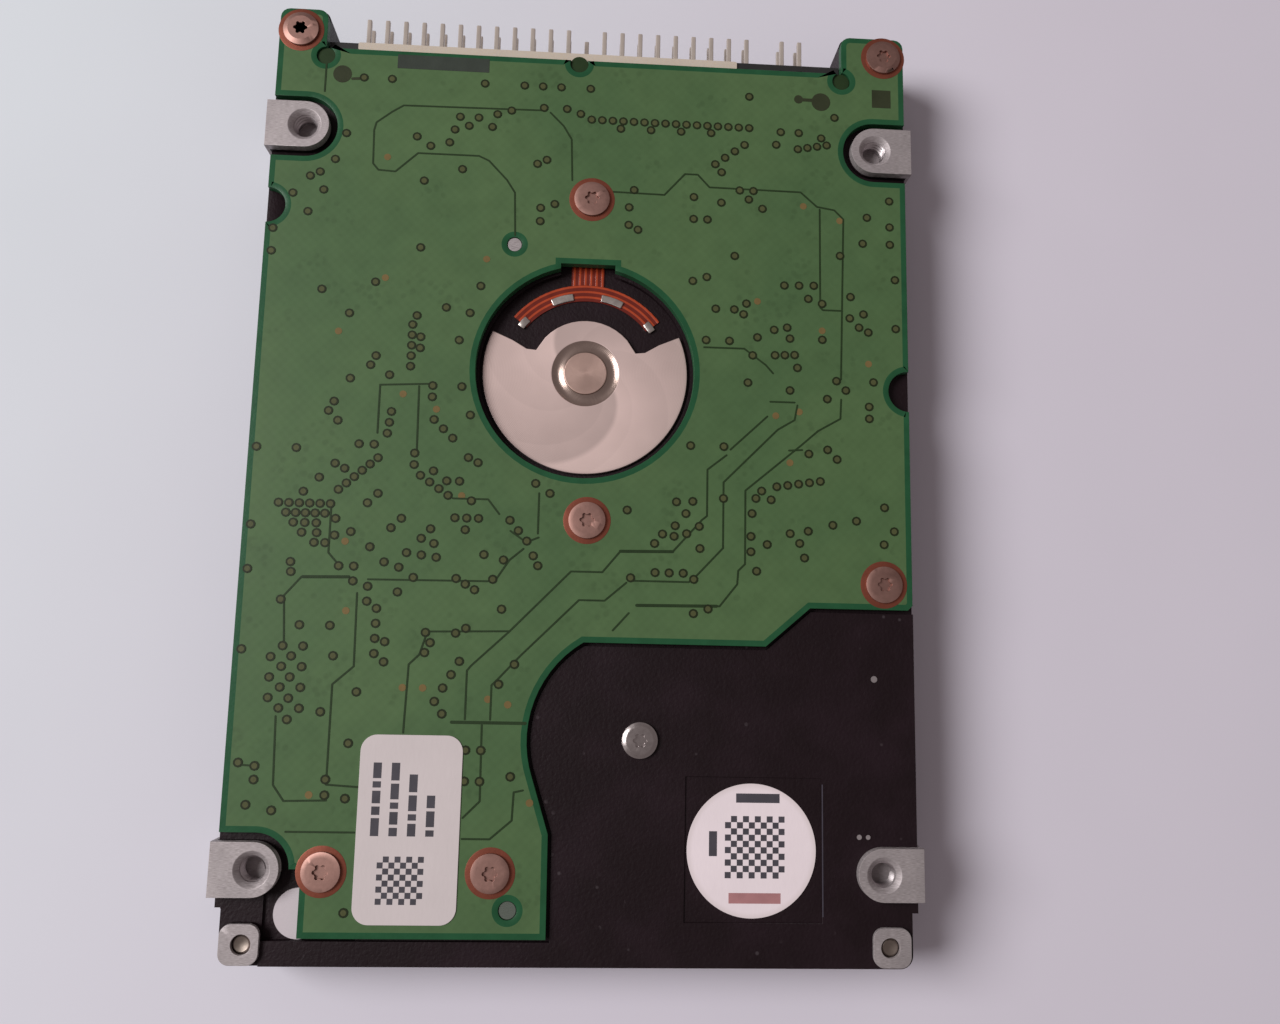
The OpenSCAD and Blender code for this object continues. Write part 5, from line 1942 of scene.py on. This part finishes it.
    # Vias in line, each run with its first spot, its last and how many there are
    VIA_RUNS = (
        ((-7.7, 42), (-3.7, 42), 3), ((-0.3, 38.4), (17, 38.3), 16), ((2.9, 37.5), (12.8, 37.5), 4),
        ((22.4, 36.1), (25.6, 36.7), 4), ((16.5, 36.3), (13.3, 33.9), 4), ((-31.7, 28.5), (-31.7, 27.2), 2),
        ((-18.4, 14.5), (-18.4, 10), 5), ((-17.5, 13.2), (-17.5, 12), 2), ((-20.1, 5.1), (-20.4, 2.8), 3),
        ((-23.2, 1.6), (-20.9, 1.6), 4), ((-21.2, 0.2), (-25, -3.2), 6), ((-16, 8), (-16, 6.8), 2),
        ((-30.9, -4.7), (-25.7, -4.7), 6), ((-30.1, -5.7), (-26.2, -5.7), 5),
        ((-29.3, -6.7), (-27, -6.7), 3), ((-28.4, -7.7), (-26.9, -7.7), 2), ((-27.1, -8.7), (-26, -8.7), 2),
        ((-25.1, -6.2), (-25.1, -7.9), 3), ((-15.7, 4.4), (-13.7, 2.5), 3), ((-17.5, 0.8), (-17.5, -0.4), 2),
        ((-16.8, -1.5), (-13.9, -3.5), 4), ((-14.1, -2), (-12.8, -2), 2), ((-13.1, -5.8), (-10.7, -5.8), 3),
        ((-7.5, -5.9), (-5.7, -8), 3), ((-16.4, -8), (-15.1, -8.5), 2), ((-17.8, -9.5), (-14.8, -9.9), 3),
        ((-29.3, -10.7), (-29.2, -11.7), 2), ((-12.7, -12), (-10.8, -13.1), 3),
        ((-20.5, -15.2), (-20.5, -19.7), 4), ((-30.6, -20.2), (-30.6, -24.2), 3),
        ((-29.5, -19.1), (-29.5, -25.2), 4), ((-28.6, -20.1), (-28.6, -26.3), 4),
        ((-27.5, -19.1), (-27.5, -25.2), 4), ((-31.4, -30.8), (-31.4, -32.1), 2),
        ((-22.5, -33.8), (-22.5, -34.6), 2), ((-12, -20.3), (-14.3, -24.3), 4),
        ((-25.4, -25.5), (-24.5, -25.5), 2),
        ((9.6, -3.5), (11.3, -3.4), 2), ((10.6, -4.7), (11.5, -4.7), 2), ((7.4, -7.9), (8.2, -6.9), 2),
        ((9.4, -7.1), (10.7, -6.8), 2), ((12.1, -8.3), (12.7, -7.7), 2), ((7.5, -10.9), (10.4, -10.9), 3),
        ((20.1, -1.6), (24.7, -0.9), 5), ((18.5, -2.1), (17.9, -2.9), 2), ((17.4, -6.9), (17.4, -8.5), 2),
        ((19.1, -7.7), (20, -7.8), 2), ((23.4, -6.2), (24.3, -6.2), 2), ((31.4, -7.4), (32.3, -7.4), 2),
        ((20.9, 20.4), (24.1, 20.5), 3), ((16.8, 18.2), (17.6, 18.1), 2), ((19.9, 12.6), (22, 12.7), 3),
        ((22.3, 11.3), (22.3, 10.4), 2), ((21.5, 8.8), (21.5, 7.9), 2), ((30, 7.3), (30, 6), 2),
        ((28.1, 19.4), (28.9, 19.7), 2), ((19.8, 15.4), (21.2, 15.7), 2),
    )
    # Vias that stand alone, to the nearest half millimetre
    VIAS = (
        (-25, 42), (-22, 42), (-12, 42), (-0.5, 42), (17, 42), (-26.5, 35.5), (-27.5, 32.5), (-29, 31),
        (-30, 30.5), (-28.5, 29), (-30, 26.5), (-19, 35.5), (-15, 36.5), (-15.5, 35), (-17.5, 34.5),
        (-14.5, 38), (-13.5, 37), (-12.5, 38), (-11, 37), (-10.5, 38.5), (-14, 32), (-18, 30.5), (-9, 39),
        (-5.5, 39.5), (-3, 39.5), (-1.5, 39), (-6, 33), (-5, 33.5), (-4, 28.5), (-5.5, 28), (-5.5, 26.5),
        (4.5, 30.5), (4, 28.5), (4, 26.5), (5, 26), (11, 30), (11, 27.5), (26.5, 40), (20.5, 38), (20, 36.5),
        (22.5, 38), (25, 37.5), (14, 33), (16, 31), (17.5, 31), (14, 29.5), (17, 30), (18.5, 29),
        (12.5, 27.5),
        (30, 28.5), (32.5, 30.5), (32.5, 27.5), (29.5, 25.5), (32.5, 25.5),
        (-33.5, 24.5), (-33.5, 22), (-18, 23), (-22.5, 19), (-28, 18), (-25, 15.5), (-11.5, 19), (-15, 16.5),
        (-12.5, 16), (-18, 15.5), (-22, 11), (-22.5, 10), (-20.5, 9), (-13.5, 13), (-24.5, 8.5), (-13, 8),
        (-26, 6), (-26.5, 5), (-25.5, 4), (-12, 5),
        (15.5, 23.5), (27, 24), (33, 21.5), (12.5, 21), (11, 20.5), (23.5, 19), (25, 18.5), (13.5, 17.5),
        (15.5, 17.5), (16.5, 17), (28, 17), (29.5, 17.5), (29, 16), (30, 15.5), (33, 16), (21.5, 14.5),
        (15, 14), (12.5, 14), (18, 14.5), (25, 14.5), (20, 13.5), (17.5, 12.5), (17, 9.5), (26.5, 10),
        (27.5, 9), (25.5, 8), (30.5, 10), (11, 2.5), (14.5, 2.5), (25.5, 2.5), (23.5, 2), (26.5, 1.5),
        (-33.5, 1), (-29.5, 1), (-25.5, -0.5), (-24.5, -1), (-27, -2), (-28.5, -3.5), (-27.5, -4),
        (-21, -3.5), (-22, -4.5), (-23.5, -7.5), (-21.5, -9), (-18.5, -6), (-19.5, -7), (-15.5, -1),
        (-11.5, -4), (-12, 0.5), (-11, 0), (-15.5, -7), (-12, -7), (-10, -9.5), (-20, -10.5), (-18.5, -11),
        (-23, -11), (-24.5, -11), (-33.5, -11.5), (-33.5, -7), (-23, -12.5), (-21.5, -13), (-17, -12),
        (-18.5, -13.5), (-12, -11.5), (-30, -14.5), (-28, -17), (-25, -17), (-21.5, -14.5), (-19.5, -18.5),
        (-19.5, -20.5), (-15.5, -17.5), (-15, -18.5), (-15.5, -19.5), (-12.5, -17.5), (-11.5, -17),
        (-24.5, -20), (-33.5, -19.5), (-5, -2), (-3.5, -3), (4.5, -4.5), (-8, -10), (-9, -12), (-5, -9.5),
        (-4.5, -10.5), (-8, -15), (-6.5, -20.5), (-8, -22.5), (-6.5, -31.5), (9.5, -6), (12, -6), (5, -11.5),
        (11.5, -11.5), (11.5, -15), (13, -14.5), (14.5, -3), (17.5, -4.5), (19.5, -3), (21.5, -6.5),
        (22.5, -7.5), (26, -5.5), (28.5, -5), (23, -9), (18, -10.5), (31.5, -3.5), (32.5, -6), (-22, -23.5),
        (-22.5, -28.5), (-24.5, -32), (-24.5, -33.5), (-33, -30.5), (-32, -34.5), (-29.5, -35),
        (-22, -44.5), (-13.5, -25.5), (-11, -29), (-9.5, -29), (-11, -32), (-9.5, -32),
    )
    # Small bare copper test dots
    TEST_DOTS = (
        (-22, 33), (27, 28), (23, 29.5), (-11, 22), (-21.5, 19.5), (-26, 13.5), (-19, 7), (-15.5, 5.5),
        (18, 18.5), (25, 15.5), (30, 12), (20, 6), (22.5, 6.5), (-24, -8.5), (-23.5, -15.5), (-12.5, -3.5),
        (-26, -33.5), (-17.5, -23), (-15.5, -23), (-9, -24), (-7, -24.5), (-4.5, -34), (21.5, 1),
    )

    def __post_init__(self) -> None:
        """Reads the board's levels from the frame."""
        self.top = node_box("circuit_board")[1].z
        self.screws = islands("board_screws")
        self.shift = Vector((0, 0))

    def found(self, name: str, carrier: BVHTree) -> Vector:
        """Finds where an image point meets the board, and notes it.

        Args:
            name: The image point's name.
            carrier: The board as finished.

        Returns:
            The place in millimetres.
        """
        self.laid[name] = self.view.on_surface(IMAGE_POINTS[name], carrier)
        return self.laid[name]

    def plate(self) -> Object:
        """Makes the board with a brighter margin round its edge, window and holes.

        Returns:
            The board.
        """
        mesh = self.bench.copied("circuit_board")
        upper = [
            face for face in mesh.faces
            if face.normal.z > 0.9 and abs(face.calc_center_median().z - self.top) < self.level_room
        ]
        margin = bmesh.ops.inset_region(
            mesh, faces=upper, thickness=self.margin, depth=0, use_boundary=True, use_even_offset=True
        )["faces"]
        for face in margin:
            face.material_index = 1
        rim = [
            edge for edge in mesh.edges
            if len(edge.link_faces) == 2 and edge.is_convex and edge.calc_face_angle(0) > self.round_above
            and min(corner.co.z for corner in edge.verts) > self.top - self.level_room
        ]
        round_off(mesh, rim, self.rounding)
        mask = SolderMask().build()
        edge = Mask("board_margin", Tone.BOARD_EDGE, 0.34).build()
        return self.bench.place("circuit_board_soft", mesh, [mask, edge], "board_green", ["circuit_board"])

    def settle(self, carrier: BVHTree) -> None:
        """Finds how far the whole pattern moves, so that its named corner shows at its image point.

        Args:
            carrier: The board as finished.
        """
        corner = self.found("pour_corner", carrier)
        self.shift = corner.xy - Vector(self.pour_corner)
        log.info("pattern moved by %.2f, %.2f mm", *self.shift)

    def moved(self, spot: Spot) -> Spot:
        """Moves a spot with the pattern."""
        return spot[0] + self.shift.x, spot[1] + self.shift.y

    def gaps(self) -> None:
        """Lays the dark gaps that part the copper pours."""
        mesh = bmesh.new()
        for order, path in enumerate(self.GAPS):
            height = self.film * (1 + order * self.gap_rise)
            path_slabs(mesh, [self.moved(spot) for spot in path], self.top, self.gap_width, height)
        for path in self.BOLD:
            spots = [self.moved(spot) for spot in path]
            path_slabs(mesh, spots, self.top, self.bold_width, self.bold_height)
        dark = Mask("board_gap", Tone.BOARD_DARK, 0.5).build()
        self.bench.place("pour_gaps", mesh, [dark], "board_green")

    def on_board(self, place: Vector, carrier: BVHTree) -> bool:
        """Tells whether a via has board all round it.

        Args:
            place: The via's middle.
            carrier: The board as finished.

        Returns:
            True where the board's top lies under the whole of its rim.
        """
        reach = self.via_radius + self.via_room
        for turn in range(8):
            angle = turn * math.tau / 8
            beside = place + Vector((math.cos(angle), math.sin(angle))) * reach
            hit = carrier.ray_cast(in_metres((*beside, self.top + 1)), Vector((0, 0, -1)))[0]
            if hit is None or hit.z / MM < self.top - self.film:
                return False
        return True

    def vias(self, carrier: BVHTree) -> None:
        """Sets the vias, each a dark ring with an olive middle, no two in one place and none at an edge.

        Args:
            carrier: The board as finished.
        """
        mesh = bmesh.new()
        laid: list[Vector] = []
        for spot in [*(spot for run in self.VIA_RUNS for spot in run_of(*run)), *self.VIAS]:
            place = Vector(self.moved(spot))
            near = any((place - other).length < self.via_radius * self.via_pace for other in laid)
            if near or not self.on_board(place, carrier):
                continue
            laid.append(place)
            raised = disc(mesh, (*place, self.top), self.via_radius, self.via_height, 10)
            rim = bmesh.ops.inset_region(mesh, faces=raised, thickness=self.via_wall, depth=0)["faces"]
            for face in raised:
                if face not in rim:
                    face.material_index = 1
        rim = Mask("via_rim", Tone.VIA_RIM, 0.45).build()
        barrel = Mask("via_barrel", Tone.VIA_MIDDLE, 0.4).build()
        self.bench.place("vias", mesh, [rim, barrel], "board_green")
        log.info("laid %d vias", len(laid))

    def test_dots(self) -> None:
        """Sets the small copper test dots."""
        mesh = bmesh.new()
        for spot in self.TEST_DOTS:
            disc(mesh, (*self.moved(spot), self.top), self.test_radius, self.test_height, 10)
        copper = Mask("test_copper", Tone.TEST_DOT, 0.4).build()
        self.bench.place("test_dots", mesh, [copper], "board_green")

    def mark(self, mesh: BMesh, place: Vector, low: Sequence[float], high: Sequence[float],
             height: float, material: int = 0) -> None:
        """Sets a flat four-sided mark.

        Args:
            mesh: The mesh it joins.
            place: The place that its corners start from.
            low: Its lower left corner from there.
            high: Its upper right corner from there.
            height: Its thickness.
            material: Its material number.
        """
        slab(mesh, (place.x + low[0], place.y + low[1], self.top),
             (place.x + high[0], place.y + high[1], self.top + height), material)

    def dot(self, mesh: BMesh, place: Vector, size: Sequence[float], height: float,
            sides: int) -> None:
        """Sets a flat round mark.

        Args:
            mesh: The mesh it joins.
            place: The place that its middle starts from.
            size: Its middle from there, and its radius.
            height: Its thickness.
            sides: Its corners.
        """
        disc(mesh, (place.x + size[0], place.y + size[1], self.top), size[2], height, sides)

    def marks(self, carrier: BVHTree) -> None:
        """Sets the dark bar, the square pad, the keyhole mark and the mark beside the ear.

        Args:
            carrier: The board as finished.
        """
        mesh = bmesh.new()
        bar = self.found("dark_bar", carrier)
        self.mark(mesh, bar, Vector(self.bar_size) / -2, Vector(self.bar_size) / 2, self.film, 1)
        half = self.pad_side / 2
        self.mark(mesh, self.found("square_pad", carrier), (-half, -half), (half, half), self.film)
        key = self.found("keyhole", carrier)
        self.dot(mesh, key, self.key_wide, self.film, 20)
        self.dot(mesh, key, self.key_narrow, self.film * 0.9, 14)
        self.mark(mesh, key, *self.key_neck, self.film * 0.8)
        ear = min(self.screws, key=lambda screw: screw.x - screw.y)
        self.dot(mesh, ear, self.ear_mark, self.film, 20)
        tail = [ear.xy + Vector(self.ear_mark[:2]) + Vector(spot) for spot in self.ear_tail]
        path_slabs(mesh, tail, self.top, self.tail_width, self.film)
        dark = Mask("board_mark", Tone.MARK, 0.5).build()
        grey = Mask("board_bar", Tone.MARK_BAR, 0.5).build()
        self.bench.place("board_marks", mesh, [dark, grey], "board_green")

    def notches(self) -> None:
        """Sets a thin dark disc inside each of the three round notches by the connector, as painted shade in
        the open notches.
        """
        low, high = node_box("connector_housing")
        middle_x, from_back = self.middle_notch
        ends = [(x, high.y - self.notch_from_back) for x in (low.x, high.x)]
        mesh = bmesh.new()
        for spot in (*ends, (middle_x, high.y - from_back)):
            disc(mesh, (*spot, self.top - self.notch_shade_below), self.notch_radius, self.notch_shade_height, 20)
        # Painted shade: dark discs stand where the notches would show only shadow
        notch_shade_paint = Mask("notch_shade", Tone.BOARD_DARK, 0.5).build()
        self.bench.place("notch_shades", mesh, [notch_shade_paint], "board_green")

    def lands(self) -> None:
        """Makes the copper ring round each board screw."""
        reach, height = self.land_reach, self.land_height
        section = (
            (self.land_bore, 0), (reach, 0), (reach, height * 0.6), (reach - self.land_slope, height),
            (self.land_bore, height),
        )
        mesh = bmesh.new()
        for screw in self.screws:
            turned_ring(mesh, (screw.x, screw.y, self.top), section, 40)
        copper = Metal("screw_land", Tone.COPPER, 0.38, Lay.CAST, stain=0.5, metallic=0.6).build()
        self.bench.place("screw_lands", mesh, [copper], "screw_steel")

    def build(self) -> None:
        """Makes the whole board."""
        carrier = tree_of(self.plate())
        self.settle(carrier)
        self.gaps()
        self.vias(carrier)
        self.test_dots()
        self.marks(carrier)
        self.notches()
        self.lands()


# Where the screw between the connector and the motor is looked for
NEAR_NECK: Spot = (0.0, 29.0)
# The casting's upper locating pin, and how far its end lies below the lugs' faces
UPPER_PIN: Spot = (-8.1, 23.8)
PIN_BELOW = 0.6


def measure_points(view: View, laid: dict[str, Vector]) -> dict[str, list[float]]:
    """Finds how far each named thing shows from its image point.

    Args:
        view: The photograph's view.
        laid: Middles of what the scene adds by an image point, in millimetres.

    Returns:
        The x and y offsets in pixels, by name; edges have the one that they set.
    """
    shown = [view.shown_at(place) for place in finished_places()]
    across = [spot[0] for spot in shown]
    down = [spot[1] for spot in shown]
    offsets = {
        "left": [min(across) - IMAGE_POINTS["left"][0], 0.0],
        "right": [max(across) - IMAGE_POINTS["right"][0], 0.0],
        "top": [0.0, min(down) - IMAGE_POINTS["top"][1]],
        "bottom": [0.0, max(down) - IMAGE_POINTS["bottom"][1]],
    }
    for name, place in {**named_places(), **laid}.items():
        spot = view.shown_at(in_metres(place))
        offsets[name] = [spot[0] - IMAGE_POINTS[name][0], spot[1] - IMAGE_POINTS[name][1]]
    return offsets


def finished_places() -> list[Vector]:
    """Gives every vertex of the pieces as they are finished, in metres."""
    shown = bpy.context.evaluated_depsgraph_get()
    places = []
    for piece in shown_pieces():
        data = piece.evaluated_get(shown).to_mesh()
        places.extend(piece.matrix_world @ corner.co for corner in data.vertices)
        piece.evaluated_get(shown).to_mesh_clear()
    return places


def named_places() -> dict[str, Vector]:
    """Gives the place of each feature that has an image point, in millimetres."""
    holes = tapped_holes()
    level = holes["hole_top_left"].z
    neck = min(islands("board_screws"), key=lambda screw: (screw.xy - Vector(NEAR_NECK)).length)
    return {
        **holes,
        "motor_cap": with_top("thrust_cap"),
        "pivot_screw": with_top("pivot_screw"),
        "round_label": with_top("round_label"),
        "board_label": with_top("board_label"),
        "neck_screw": Vector((neck.x, neck.y, node_box("board_screws")[1].z)),
        "upper_pin": Vector((*UPPER_PIN, level - PIN_BELOW)),
    }


def with_top(node: str) -> Vector:
    """Gives the middle of a node's top face in millimetres."""
    low, high = node_box(node)
    return Vector(((low.x + high.x) / 2, (low.y + high.y) / 2, high.z))


def main() -> None:
    """Builds the drive's pieces in order, then the studio and the view, and works out how far the image
    points lie off.
    """
    logging.basicConfig(level=logging.INFO, format="%(message)s")
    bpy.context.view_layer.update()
    bench = Bench()
    view = View()
    Casting(bench).build()
    Cover(bench).build()
    board = Board(bench, view)
    board.build()
    Connector(bench).build()
    Motor(bench).build()
    Insides(bench).build()
    Fastenings(bench).build()
    labels = Labels(bench, view)
    labels.build()
    Studio().build()
    view.build()
    log.info("made %d pieces", bench.count)
    measure_points(view, {**board.laid, **labels.laid})


if __name__ == "__main__":
    main()
